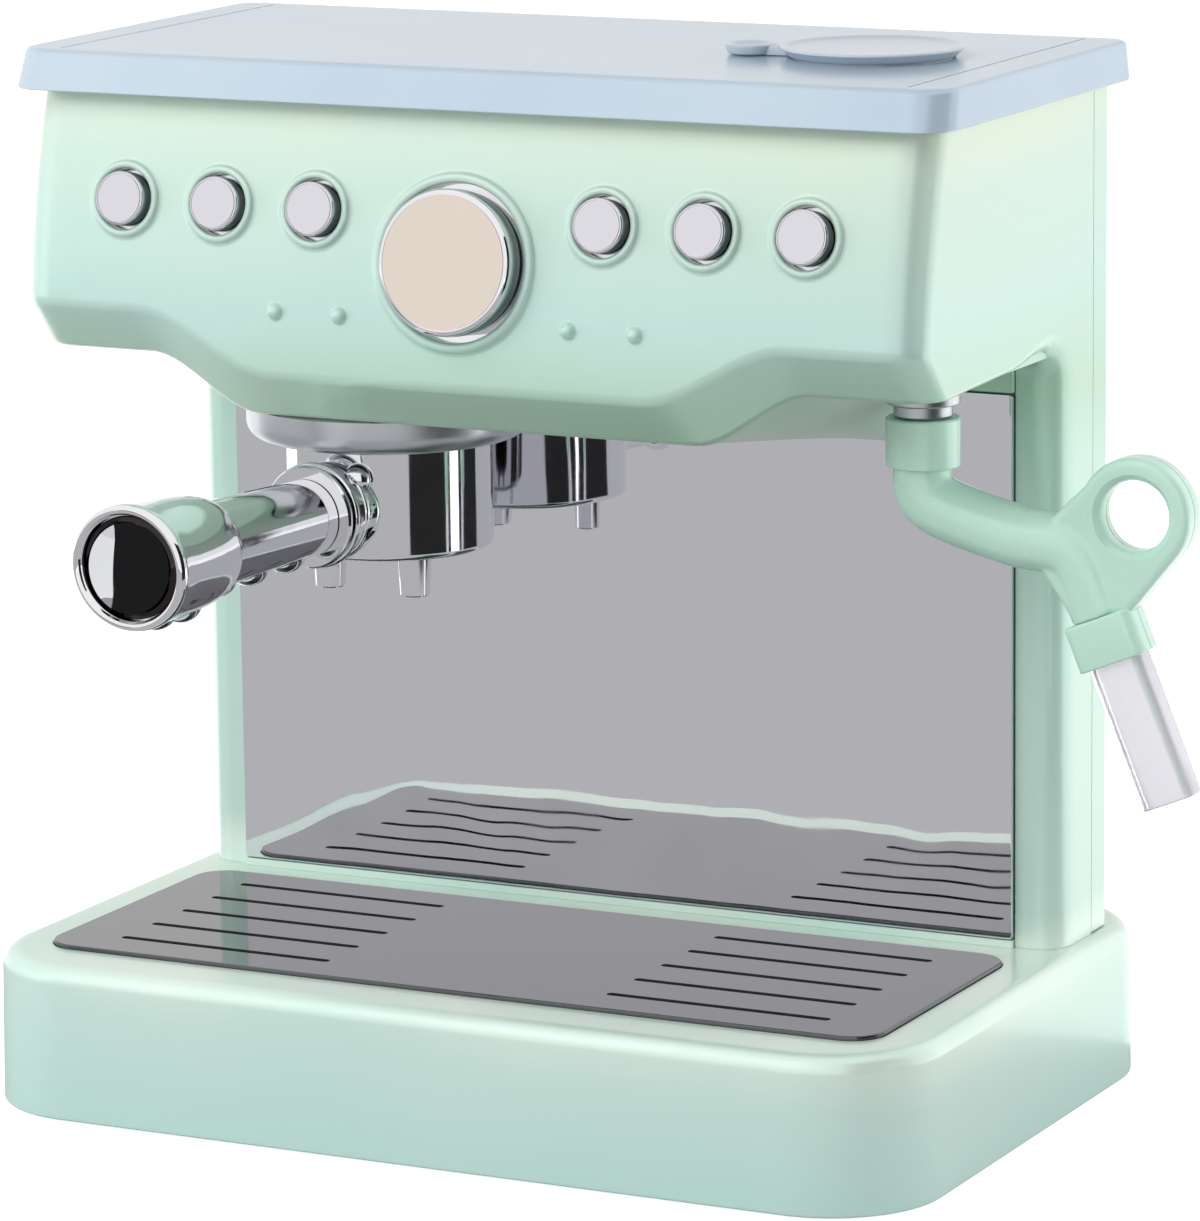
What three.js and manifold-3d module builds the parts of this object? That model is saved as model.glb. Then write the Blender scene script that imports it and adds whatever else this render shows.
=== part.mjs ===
// Toy coffee maker with a twisting portafilter, a swinging steam wand and press buttons.
// Millimetres, +Z up, front towards -Y; the origin is the centre of the underside of the base.
import * as THREE from "three";
import { mergeVertices } from "three/addons/utils/BufferGeometryUtils.js";
import Module from "manifold-3d";

const wasm = await Module();
wasm.setup();

// Fits and fineness
const gap = 0.3; // between pieces that touch
const overrun = 4; // how far a cut runs past what it cuts
const weld = 0.0001; // corners closer than this are one
const cornerSteps = 4; // facets in a quarter of an upright corner
const edgeSteps = 2; // facets in a rounded edge
const fineSides = 24; // round pieces that show, by size
const mediumSides = 12;
const smallSides = 8;
const screwSides = 6;

// Base
const baseWidth = 250;
const baseDepth = 168;
const baseHeight = 38.3;
const baseCorner = 28;
const baseEdge = 4.5;
const baseDraft = 0.5;
const baseWall = 2.5;
const plateThickness = 2.5; // bottom plate
const footRadius = 9;
const footHeight = 1.2; // below the plate
const footSeat = 1.2; // depth of its recess in the plate
const footInsetX = 29;
const footInsetY = 23;
const footX = baseWidth / 2 - footInsetX;
const footY = baseDepth / 2 - footInsetY;
const screwInsetX = 13;
const screwInsetY = 20;
const baseScrewX = baseWidth / 2 - screwInsetX;
const baseScrewY = baseDepth / 2 - screwInsetY;
const plateBossHeight = 6;

// Drip plate and the well beneath it
const dripMargin = 13.25; // at each side of the plate
const dripWidth = baseWidth - 2 * dripMargin;
const dripDepth = baseDepth / 2;
const dripCorner = 8.6;
const dripThickness = 1.6;
const dripProud = 1; // above the deck
const dripFront = 17.6; // behind the front of the base
const dripY = (dripDepth - baseDepth) / 2 + dripFront;
const dripLedge = 6;
const wellDepth = 8.3;
const slotCount = 5; // in each half
const slotPitchShare = 0.1757; // of the plate's depth
const slotLengthShare = 0.2604; // of its width
const slotWidth = 3;
const slotPlaceShare = 0.2986; // middle of a half
const slotCornerShare = 0.45; // of its width

// Screws, all of one kind
const screwHeadRadius = 3.2;
const screwHeadHeight = 2;
const screwRadius = 1.4;
const screwLength = 13;
const screwBossRadius = 4.4;
const screwSink = 3; // depth of the recess for a head

// Battery box in the rear of the base, with its door in the plate
const bayInset = 69; // middle of the speaker, in from the side
const bayBack = 39; // middles of battery box and speaker, in from the back
const batteryWidth = 64;
const batteryOverFoot = 1; // how far the box reaches over the foot beside it
const batteryX = batteryWidth / 2 - footX + footRadius - batteryOverFoot;
const batteryY = baseDepth / 2 - bayBack;
const batteryDepth = 48;
const batteryHeight = 18;
const batteryWall = 2;
const doorLip = 1.6; // the box stands this far over the door's edge
const doorScrewPad = 11;

// Speaker on the plate
const speakerX = baseWidth / 2 - bayInset;
const speakerY = baseDepth / 2 - bayBack;
const speakerRadius = 18;
const speakerRim = 3;
const speakerConeRadius = 14;
const speakerMagnetRadius = 9;
const speakerHeight = 13;
const soundSlotWidth = 2;
const soundSlotPitch = 5;
const soundSlotLengthShares = [0.9, 1.25, 1.4, 1.25, 0.9]; // of the cone's radius

// Tower: two pillars, the frame behind the mirror, and the back cover
const houseInset = 5.8; // behind the sides of the base
const houseHalf = baseWidth / 2 - houseInset; // half the width of pillars and head
const houseWall = 2.6;
const pillarWidth = 11.7;
const pillarFront = 29;
const pillarCorner = 7.5;
const seamY = 49; // where the back cover starts
const coverBack = 61;
const coverCorner = 4;
const coverWall = 2.5;
const frameLip = 8; // how far the frame reaches behind the mirror
const frameThickness = 2.6;
const pillarPlug = 8; // solid foot of a pillar
const blockHeight = 9; // screw blocks in the pillars

// Mirror panel
const mirrorFront = 27.5;
const mirrorThickness = 2.5;
const mirrorTop = 175;
const mirrorCorner = 2.5;
const sillHeight = 1.6;
const beamHeight = 29; // above the mirror
const beamTop = mirrorTop + beamHeight;
const coverScrewInset = 31.7; // above the base
const coverScrewDrop = 10; // below the mirror's top
const coverScrewHeights = [baseHeight + coverScrewInset, mirrorTop - coverScrewDrop];

// Head: a bowed fascia that leans back, with a wavy chamfered lower edge
const headTop = 248; // seat of the lid
const headFrontTop = 45.5;
const headFrontLow = 56;
const headLowZ = 196; // height at which headFrontLow is met
const fasciaBow = 1.62;
const headCorner = 9;
const fasciaEdgeSide = 196.5; // lower edge of the fascia near the sides
const fasciaEdgeMiddle = 182.4;
const fasciaWaveShares = [0.411, 0.7215]; // of half the width, as the next ones
const [fasciaWaveInner, fasciaWaveOuter] = fasciaWaveShares.map((part) => part * houseHalf);
const chamferFront = 46; // lower edge of the chamfer, in front of the origin
const chamferSide = 184.4;
const chamferMiddle = 171;
const chamferWaveShares = [0.4866, 0.738];
const [chamferWaveInner, chamferWaveOuter] = chamferWaveShares.map((part) => part * houseHalf);
const sideEdge = 186; // lower edge of the side walls at the pillars
const sideFillet = 7;
const sideFilletY = 34;
const fasciaSteps = 5;
const waveSteps = 6;

// Underside shell of the head
const bellyMiddle = 161.5; // at its rear edge
const bellyWaveShares = [0.646, 0.889];
const [bellyWaveInner, bellyWaveOuter] = bellyWaveShares.map((part) => part * houseHalf);
const bellySheet = 2.4;
const bellySkirt = 7;
const bellySteps = 4;

// Lid tray
const lidRise = 9.3;
const lidOverSide = 5.2; // past the head, at the lower edge
const lidOverFront = 6.9;
const lidOverBack = 5;
const lidDraftSide = 2.2;
const lidDraftFront = 5.9;
const lidDraftBack = 4.5;
const lidEdge = 1.2;
const lidWall = 2.4;
const lidCorner = 9;
const lipDepth = 5;
const lipThickness = 2;

// Filler cap and its pocket in the tray
const capInset = 39.2; // from the side of the head
const capX = houseHalf - capInset;
const capY = 7.5;
const capRadius = 25;
const capHeight = 4.2;
const capWaist = 1.6; // depth of the groove round the cap
const capDish = 1;
const capPlugRadius = 20.5;
const capPlugDepth = 7;
const pocketDepth = 19;
const tabReach = 33.5;
const tabTurn = 9.5; // degrees
const tabRadius = 6.5;
const tabNeck = 4.4;
const tabDish = 1.6;
const tabHeightShare = 0.82; // of the cap's height

// Small buttons
const smallRowZ = 222.6;
const smallColumnShares = [-0.7567, -0.5386, -0.3196, 0.3196, 0.5386, 0.7567];
const smallColumns = smallColumnShares.map((part) => part * houseHalf);
const smallRadius = 6.65;
const smallProud = 3.4;
const smallEdge = 0.9;
const smallRingRadius = 9.2;
const smallRingProud = 1.4;
const smallTravel = 1.8;
const smallFlange = 8.2;
const buttonClearance = 0.45;
const flangeThickness = 1.5;
const stemRadius = 2.5;
const stemLength = 5;

// Brew button
const brewZ = 212.2;
const brewRadius = 17;
const brewProud = 6.2;
const brewEdge = 1;
const brewRingRadius = 21.2;
const brewRingProud = 1.6;
const brewTravel = 3;
const brewFlange = 18.6;

// Raised dots under the buttons
const dotColumnShares = [-0.4, -0.255, 0.255, 0.4];
const dotColumns = dotColumnShares.map((part) => part * houseHalf);
const dotZ = 198.2;
const dotRadius = 1.9;

// Keypad sheet and circuit board behind the fascia
const boardInset = 11.2;
const boardHalf = houseHalf - boardInset;
const boardLow = -19;
const boardHigh = 11;
const boardThickness = 1.6;
const keypadInset = 10; // from the ends of the board
const keypadHalf = boardHalf - keypadInset;
const keypadThickness = 1.2;
const domeRadius = 4;
const domeHeight = 1.4;
const postInset = 4.5;
const postX = boardHalf - postInset;
const postV = 6;
const postRadius = 3;

// Group ring
const groupShare = -0.35487; // of half the width
const groupX = groupShare * houseHalf;
const groupY = -10;
const ringRadius = 34.9;
const ringBottom = 161.8;
const ringTop = 170.6;
const ringEdge = 4.5;
const ringBore = 27;
const hubRadius = 32.7;
const hubTop = 175;
const ringCeiling = 172;

// Portafilter: cup, basket, spouts and handle
const cupRadius = 25.4;
const cupTop = 168;
const cupBottom = 134.4;
const cupInner = 22.8;
const cupFloor = 3;
const cupEdge = 1.2;
const lugHeight = 2.4;
const lugBelow = 3; // below the rim of the cup
const lugWidth = 12;
const bossRadius = 3.8;
const bossTurn = 16.5; // degrees to the right of the handle
const bossZ = 155;
const basketWall = 1.4;
const basketRimReach = 24.6;
const basketRim = 1.2;
const basketDepth = 27;
const handleTurn = 5.5; // degrees to the left of straight ahead
const handleZ = 146.7;
const neckRadius = 11.5;
const neckEnd = 31;
const neckFlangeRadius = 12;
const neckFlangeEnd = 27.5;
const neckRoot = 20;
const spoutSpread = 12.45;
const spoutAhead = 8.5;
const spoutRadius = 4.2;
const spoutTipRadius = 3.7;
const spoutLength = 10;
const spoutBore = 1.9;
const spoutNeck = 3.1;
const spoutNeckRise = 2.4;

// Handle pieces, as distances from the axis of the cup
const collarRadius = 13;
const collarGroove = 11.2;
const collarSecond = 12.6;
const collarFirstEnd = 33.5;
const collarSecondStart = 34.2;
const collarEnd = 36.3;
const shaftEnd = 80;
const shaftFront = 9.3;
const shaftBack = 10.6;
const gripEnd = 106.6;
const gripFront = 12.4;
const gripBack = 14;
const gripSwell = 7.5; // length over which it widens
const gripRim = 1.6;
const gripRecess = 12.8;
const gripRecessDepth = 4.2;
const endCapRadius = 11.8;
const endCapThickness = 2.4;
const dotsBelow = [45.5, 60.6, 74];
const gripDotsBelow = [90.5, 100.5];
const fingerHalfLength = 5.6;
const fingerHalfWidth = 5;
const fingerProud = 2.4;

// Steam wand
const wandInset = 18.8; // from the side of the head
const wandX = houseHalf - wandInset;
const wandY = -10;
const swivelTop = 187.4;
const swivelRadius = 8.8;
const swivelStep = 178.5;
const swivelLow = 175.7;
const swivelLowRadius = 7;
const swivelFlange = 11.4;
const swivelFlangeHeight = 2;
const pegRadius = 4.6;
const pegTip = 0.8; // of the peg, over its clip
const clipRadius = 8;
const clipThickness = 2.6;
const clipGroove = 0.8;
const socketTop = 175.4;
const socketBottom = 163.7;
const socketRadius = 8.9;
const elbowRadius = 8.5;
const elbowDropShare = 1.1; // of the elbow's radius, from the socket to the bend
const elbowBendShare = 1.12;
const armMidShare = 0.42; // of the way from the pivot to the loop
const armMidDropShare = 0.98; // of the arm's radius, below the loop
const armFlatteningStart = 0.5; // of the arm's length: slim before it, flat after it
const armRadius = 7.2;
const armSteps = 10;
const plateHalf = 4.5;
const plateSoft = 1.6;
const loopReach = 54.6; // out from the swivel
const loopX = wandX + loopReach;
const loopZ = 156;
const loopRadius = 13.8;
const loopHole = 8.3;
const loopChamfer = 1.7;
const sleeveTurn = 22.4; // degrees from upright
const sleeveWidth = 17.6;
const sleeveDepth = 12;
const sleeveLength = 11.2;
const sleeveCorner = 3;
const sleeveReach = 45.5; // middle of its upper end, out from the swivel
const sleeveX = wandX + sleeveReach;
const sleeveZ = 131.4;
const nozzleWidth = 13.9;
const nozzleDepth = 9;
const nozzleCorner = 2.6;
const nozzleLength = 35.3; // below the sleeve
const nozzleSeat = 8; // inside the sleeve

const finishes = {
  pearlMint: { color: 0xbfe5d8, roughness: 0.32, metalness: 0.1 },
  pearlBlue: { color: 0xcdd8e4, roughness: 0.28, metalness: 0.2 },
  chrome: { color: 0xe6e6e8, roughness: 0.06, metalness: 1 },
  satinSilver: { color: 0xb4b8bc, roughness: 0.35, metalness: 1 },
  darkChrome: { color: 0x85858a, roughness: 0.12, metalness: 1 },
  warmChrome: { color: 0xd9cfc2, roughness: 0.12, metalness: 1 },
  mirror: { color: 0xc4c4ca, roughness: 0.04, metalness: 1 },
  clearPlastic: { color: 0xe8e6ea, roughness: 0.08, metalness: 0, transparent: true, opacity: 0.5 },
  blackPlastic: { color: 0x2a2b2d, roughness: 0.5, metalness: 0 },
  rubber: { color: 0x3a3c3f, roughness: 0.9, metalness: 0 },
  board: { color: 0x2f6b45, roughness: 0.5, metalness: 0 },
  steel: { color: 0x9a9ca0, roughness: 0.3, metalness: 1 },
};

// Helpers: geometry to solid and back

function solid(geometry) {
  const bare = new THREE.BufferGeometry();
  bare.setAttribute("position", geometry.getAttribute("position"));
  bare.setIndex(geometry.index);
  const merged = mergeVertices(bare, weld);
  const index = merged.index.array;
  const faces = [];
  for (let i = 0; i < index.length; i += 3) {
    const [a, b, c] = [index[i], index[i + 1], index[i + 2]];
    if (a !== b && b !== c && c !== a) faces.push(a, b, c);
  }
  const corners = new Float32Array(merged.attributes.position.array);
  const make = (list) =>
    new wasm.Manifold(
      new wasm.Mesh({ numProp: 3, vertProperties: corners, triVerts: new Uint32Array(list) }),
    );
  const made = make(faces);
  return made.volume() < 0 ? make(faces.reverse()) : made;
}

const join = (...pieces) => pieces.reduce((sum, piece) => sum.add(piece));
const cut = (body, ...tools) => tools.reduce((rest, tool) => rest.subtract(tool), body);

function geometryOf(body) {
  const mesh = body.getMesh();
  const count = mesh.numProp;
  const places = new Float32Array(mesh.numVert * 3);
  for (let i = 0; i < mesh.numVert; i++)
    places.set(mesh.vertProperties.subarray(i * count, i * count + 3), i * 3);
  const geometry = new THREE.BufferGeometry();
  geometry.setAttribute("position", new THREE.BufferAttribute(places, 3));
  geometry.setIndex(new THREE.BufferAttribute(new Uint32Array(mesh.triVerts), 1));
  geometry.computeVertexNormals();
  return geometry;
}

function piece(parent, name, finish, body) {
  const mesh = new THREE.Mesh(geometryOf(body), new THREE.MeshStandardMaterial(finishes[finish]));
  mesh.name = name;
  parent.add(mesh);
  return mesh;
}

function group(parent, x, y, z) {
  const made = new THREE.Group();
  made.position.set(x, y, z);
  parent.add(made);
  return made;
}

// The solid of a shape that is drawn in a group's own frame
function solidIn(frame, geometry) {
  frame.updateWorldMatrix(true, false);
  return solid(geometry.clone().applyMatrix4(frame.matrixWorld));
}

// Helpers: forms

const radians = (degrees) => (degrees * Math.PI) / 180;
const ease = (t) => t * t * (3 - 2 * t);
const share = (value, from, to) => Math.min(1, Math.max(0, (value - from) / (to - from)));
const steps = (count) => Array.from({ length: count + 1 }, (_, i) => i / count);

// A box between two corners
function block([x0, x1], [y0, y1], [z0, z1]) {
  return new THREE.BoxGeometry(x1 - x0, y1 - y0, z1 - z0).translate(
    (x0 + x1) / 2,
    (y0 + y1) / 2,
    (z0 + z1) / 2,
  );
}

// A round piece about Z from a closed list of [radius, height]
function turned(profile, sides) {
  const outline = profile.map(([r, z]) => new THREE.Vector2(r, z));
  const onAxis = profile[0][0] === 0 && profile[profile.length - 1][0] === 0;
  if (!onAxis) outline.push(outline[0].clone());
  return new THREE.LatheGeometry(outline, sides).rotateX(Math.PI / 2);
}

function rod(radius, low, high, sides) {
  return turned([[0, low], [radius, low], [radius, high], [0, high]], sides);
}

// A quarter arc of [radius, height] points about a centre, between two angles in degrees
function arc(r, z, radius, from, to, count = edgeSteps) {
  return steps(count).map((t) => {
    const a = radians(from + (to - from) * t);
    return [r + radius * Math.cos(a), z + radius * Math.sin(a)];
  });
}

function roundRect(halfX, halfY, corner, count = cornerSteps) {
  const points = [];
  const quarters = [[1, 1], [-1, 1], [-1, -1], [1, -1]];
  quarters.forEach(([sx, sy], quarter) => {
    for (const t of steps(count)) {
      const a = ((quarter + t) * Math.PI) / 2;
      const x = sx * (halfX - corner) + corner * Math.cos(a);
      points.push(new THREE.Vector2(x, sy * (halfY - corner) + corner * Math.sin(a)));
    }
  });
  return points;
}

// A flat piece with round corners, centred on x, y
function slab(halfX, halfY, corner, [low, high], x = 0, y = 0, count = cornerSteps) {
  const shape = new THREE.Shape(roundRect(halfX, halfY, corner, count));
  const made = new THREE.ExtrudeGeometry(shape, { depth: high - low, bevelEnabled: false });
  return made.translate(x, y, low);
}

// A closed skin through sections of equally many points, capped at both ends
function loft(sections, flat) {
  const count = sections[0].length;
  const last = (sections.length - 1) * count;
  const faces = [];
  for (let start = 0; start < last; start += count)
    for (let i = 0; i < count; i++) {
      const a = start + i;
      const b = start + ((i + 1) % count);
      faces.push(a, b, a + count, b, b + count, a + count);
    }
  for (const [section, start, first] of [
    [sections[0], 0, true],
    [sections[sections.length - 1], last, false],
  ]) {
    const outline = section.map(flat);
    const turn = Math.sign(THREE.ShapeUtils.area(outline));
    for (const [i, j, k] of THREE.ShapeUtils.triangulateShape(outline, [])) {
      const same = Math.sign(THREE.ShapeUtils.area([outline[i], outline[j], outline[k]])) === turn;
      faces.push(start + i, ...(same === first ? [start + k, start + j] : [start + j, start + k]));
    }
  }
  const made = new THREE.BufferGeometry().setFromPoints(sections.flat());
  made.setIndex(faces);
  return made;
}

// Rounded rectangles stacked up Z; a level is { z, halfX, halfY, corner, x, y }
function stack(levels) {
  const sections = levels.map(({ z, halfX, halfY, corner, x = 0, y = 0 }) =>
    roundRect(halfX, halfY, corner).map((p) => new THREE.Vector3(x + p.x, y + p.y, z)),
  );
  return loft(sections, (p) => new THREE.Vector2(p.x, p.y));
}

// A slab whose upper edge is rounded
function softSlab(halfX, halfY, corner, [low, high], edge, draft = 0) {
  const level = (z, inset) => ({
    z,
    halfX: halfX - inset,
    halfY: halfY - inset,
    corner: corner - inset,
  });
  const rounded = arc(0, high - edge, edge, 0, 90).map(([out, z]) => level(z, draft + edge - out));
  return stack([level(low, 0), ...rounded]);
}

// Screws: axis along +Z, with the underside of the head at zero and the shank going up

function screw() {
  return solid(
    turned(
      [
        [0, -screwHeadHeight],
        [screwHeadRadius, -screwHeadHeight],
        [screwHeadRadius, 0],
        [screwRadius, 0],
        [screwRadius, screwLength],
        [0, screwLength],
      ],
      screwSides,
    ),
  );
}

// What a screw at a seat needs cut: its head's recess below and its shank's hole above
function screwCut() {
  const headRoom = screwHeadRadius + gap;
  const holeRadius = screwRadius + gap;
  return turned(
    [
      [0, -screwHeadHeight - overrun],
      [headRoom, -screwHeadHeight - overrun],
      [headRoom, gap],
      [holeRadius, gap],
      [holeRadius, screwLength + gap],
      [0, screwLength + gap],
    ],
    screwSides,
  );
}

// Base

const deckUnder = baseHeight - baseWall;
const dripTop = baseHeight + dripProud;
const dripSeat = dripTop - dripThickness - gap;
const wellHalfX = dripWidth / 2 - dripLedge;
const wellHalfY = dripDepth / 2 - dripLedge;
const wellFloor = baseHeight - wellDepth;
const wellCorner = dripCorner - dripLedge / 2;
const plateBossTop = plateBossHeight;
const baseScrewSeat = screwSink; // underside of a base screw's head, above the plate's face
const mirroredPlaces = [[-1, -1], [1, -1], [1, 1], [-1, 1]];
const plugX = houseHalf - pillarWidth / 2;
const plugY = (pillarFront + seamY) / 2;
const towerFoot = baseHeight + gap;
const towerScrewSeat = deckUnder - gap; // heads lie under the deck, shanks reach into the pillars

function baseHousing() {
  const outer = softSlab(
    baseWidth / 2,
    baseDepth / 2,
    baseCorner,
    [0, baseHeight],
    baseEdge,
    baseDraft,
  );
  const inner = softSlab(
    baseWidth / 2 - baseWall,
    baseDepth / 2 - baseWall,
    baseCorner - baseWall,
    [-overrun, deckUnder],
    baseEdge - baseWall,
    baseDraft,
  );
  const bosses = mirroredPlaces.map(([sx, sy]) =>
    solid(
      rod(screwBossRadius, plateBossTop + gap, deckUnder + baseWall / 2, smallSides).translate(
        sx * baseScrewX,
        sy * baseScrewY,
        0,
      ),
    ),
  );
  const holes = screwPlaces().map(([x, y]) => solid(screwCut().translate(x, y, baseScrewSeat)));
  const towerHoles = [-1, 1].map((side) =>
    solid(
      rod(screwRadius + gap, deckUnder - overrun, baseHeight + overrun, smallSides).translate(
        side * plugX,
        plugY,
        0,
      ),
    ),
  );
  const recess = slab(
    dripWidth / 2 + gap,
    dripDepth / 2 + gap,
    dripCorner + gap,
    [dripSeat, baseHeight + overrun],
    0,
    dripY,
  );
  const wellSpan = [deckUnder - overrun, baseHeight];
  const well = slab(wellHalfX, wellHalfY, wellCorner, wellSpan, 0, dripY);
  const shell = join(cut(solid(outer), solid(inner)), ...bosses);
  return cut(shell, solid(recess), solid(well), ...holes, ...towerHoles);
}

// The tray under the drip plate, welded to the underside of the deck
function dripTray() {
  const outer = slab(
    wellHalfX + baseWall,
    wellHalfY + baseWall,
    wellCorner + baseWall,
    [wellFloor - baseWall, deckUnder - gap],
    0,
    dripY,
  );
  const inner = slab(wellHalfX, wellHalfY, wellCorner, [wellFloor, deckUnder + overrun], 0, dripY);
  return cut(solid(outer), solid(inner));
}

const screwPlaces = () => mirroredPlaces.map(([sx, sy]) => [sx * baseScrewX, sy * baseScrewY]);
const doorHalfX = batteryWidth / 2 - doorLip;
const doorHalfY = batteryDepth / 2 - doorLip;
const doorScrewX = batteryX + batteryWidth / 2 - batteryWall - doorScrewPad / 2;

function bottomPlate() {
  const reach = baseWall + gap;
  const sheet = slab(
    baseWidth / 2 - reach,
    baseDepth / 2 - reach,
    baseCorner - reach,
    [0, plateThickness],
  );
  const bosses = screwPlaces().map(([x, y]) =>
    solid(rod(screwBossRadius + baseWall / 2, 0, plateBossTop, smallSides).translate(x, y, 0)),
  );
  const screwHoles = screwPlaces().map(([x, y]) =>
    solid(screwCut().translate(x, y, baseScrewSeat)),
  );
  const footSeats = mirroredPlaces.map(([sx, sy]) =>
    solid(rod(footRadius + gap, -overrun, footSeat, mediumSides).translate(sx * footX, sy * footY, 0)),
  );
  const doorway = slab(
    doorHalfX + gap,
    doorHalfY + gap,
    batteryWall,
    [-overrun, plateThickness + overrun],
    batteryX,
    batteryY,
  );
  const middle = (soundSlotLengthShares.length - 1) / 2;
  const soundSlots = soundSlotLengthShares.map((long, i) => {
    const y = speakerY + (i - middle) * soundSlotPitch;
    const half = (speakerConeRadius * long) / 2;
    const z = [-overrun, plateThickness + overrun];
    const size = [half, soundSlotWidth / 2, soundSlotWidth / 3];
    return solid(slab(...size, z, speakerX, y, 1));
  });
  const body = join(solid(sheet), ...bosses);
  return cut(body, ...screwHoles, ...footSeats, solid(doorway), ...soundSlots);
}

function batteryBox() {
  const low = plateThickness + gap;
  const high = low + batteryHeight;
  const x = [batteryX - batteryWidth / 2, batteryX + batteryWidth / 2];
  const y = [batteryY - batteryDepth / 2, batteryY + batteryDepth / 2];
  const inner = ([from, to]) => [from + batteryWall, to - batteryWall];
  const bay = block(
    [x[0] + batteryWall, x[1] - batteryWall - doorScrewPad],
    inner(y),
    [low - overrun, high - batteryWall],
  );
  const seat = screwCut().translate(doorScrewX, batteryY, doorScrewSeat);
  return cut(solid(block(x, y, [low, high])), solid(bay), solid(seat));
}

const doorThickness = plateThickness - gap;
const doorScrewSeat = doorThickness - gap;

function batteryDoor() {
  const sheet = slab(doorHalfX, doorHalfY, batteryWall, [0, doorThickness], batteryX, batteryY);
  const hole = rod(screwHeadRadius + gap, -overrun, doorThickness + overrun, smallSides);
  return cut(solid(sheet), solid(hole.translate(doorScrewX, batteryY, 0)));
}

function speaker() {
  const low = plateThickness + gap;
  return solid(
    turned(
      [
        [0, low + speakerRim / 2],
        [speakerConeRadius / 2, low + speakerRim / 2],
        [speakerConeRadius, low],
        [speakerRadius, low],
        [speakerRadius, low + speakerRim],
        [speakerMagnetRadius, low + speakerHeight / 2],
        [speakerMagnetRadius, low + speakerHeight],
        [0, low + speakerHeight],
      ],
      mediumSides,
    ),
  );
}

function dripPlate() {
  const z = [dripSeat + gap, dripTop];
  const sheet = solid(slab(dripWidth / 2, dripDepth / 2, dripCorner, z, 0, dripY));
  const middle = (slotCount - 1) / 2;
  const slots = [];
  for (const side of [-1, 1])
    for (let i = 0; i < slotCount; i++) {
      const y = dripY + (i - middle) * slotPitchShare * dripDepth;
      const through = [z[0] - overrun, z[1] + overrun];
      const x = side * slotPlaceShare * dripWidth;
      const half = (slotLengthShare * dripWidth) / 2;
      const size = [half, slotWidth / 2, slotWidth * slotCornerShare];
      slots.push(solid(slab(...size, through, x, y, edgeSteps)));
    }
  return cut(sheet, ...slots);
}

// Fascia: an arc in the Y-Z plane through its upper and lower points

const fasciaTop = new THREE.Vector2(-headFrontTop, headTop);
const fasciaLow = new THREE.Vector2(-headFrontLow, headLowZ);
const fasciaChord = fasciaTop.distanceTo(fasciaLow);
const fasciaRadius = fasciaChord ** 2 / (8 * fasciaBow) + fasciaBow / 2;
const fasciaInward = new THREE.Vector2(
  (fasciaTop.y - fasciaLow.y) / fasciaChord,
  -(fasciaTop.x - fasciaLow.x) / fasciaChord,
);
const fasciaCentre = fasciaTop
  .clone()
  .add(fasciaLow)
  .multiplyScalar(1 / 2)
  .addScaledVector(fasciaInward, fasciaRadius - fasciaBow);

const fasciaY = (z, inset = 0) =>
  fasciaCentre.x - Math.sqrt((fasciaRadius - inset) ** 2 - (z - fasciaCentre.y) ** 2);
const fasciaLean = (z) => Math.asin((z - fasciaCentre.y) / fasciaRadius);

// Heights of the wavy edges across the head
const wave = (x, inner, outer, middle, side) =>
  middle + (side - middle) * ease(share(Math.abs(x), inner, outer));
const fasciaEdge = (x) =>
  wave(x, fasciaWaveInner, fasciaWaveOuter, fasciaEdgeMiddle, fasciaEdgeSide);
const chamferEdge = (x) =>
  wave(x, chamferWaveInner, chamferWaveOuter, chamferMiddle, chamferSide);
const bellyEdge = (x) => wave(x, bellyWaveInner, bellyWaveOuter, bellyMiddle, chamferSide);

// How far a round upright corner draws the front back at x
function cornerBack(x, half, corner) {
  const past = Math.max(0, Math.abs(x) - (half - corner));
  return corner - Math.sqrt(Math.max(0, corner ** 2 - past ** 2));
}

// Places across the head where its sections are drawn
function headStations(half, corner) {
  const right = [
    ...steps(waveSteps).map((t) => fasciaWaveInner + (chamferWaveOuter - fasciaWaveInner) * t),
    ...steps(cornerSteps).map((t) => half - corner + corner * Math.sin((t * Math.PI) / 2)),
  ];
  return [...right.map((x) => -x).reverse(), ...right];
}

const houseTop = headTop - gap;

// Depths behind the face of the fascia: a pressed stem stops just short of its dome
const stemRoot = houseWall + gap + flangeThickness;
const domeTip = stemRoot + stemLength + smallTravel + gap;
const boardDepth = domeTip + domeHeight + keypadThickness + gap;
const brewStemLength = stemLength + smallTravel - brewTravel - gap;

const chamferInner = chamferFront - houseWall;

function headOuter() {
  const sections = headStations(houseHalf, headCorner).map((x) => {
    const back = cornerBack(x, houseHalf, headCorner);
    const edge = fasciaEdge(x);
    const at = (y, z) => new THREE.Vector3(x, y, z);
    const front = steps(fasciaSteps).map((t) => {
      const z = houseTop + (edge - houseTop) * t;
      return at(fasciaY(z) + back, z);
    });
    const lower = at(-chamferFront + back, chamferEdge(x));
    return [at(seamY, houseTop), ...front, lower, at(seamY, sideEdge)];
  });
  return loft(sections, (p) => new THREE.Vector2(p.y, p.z));
}

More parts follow.
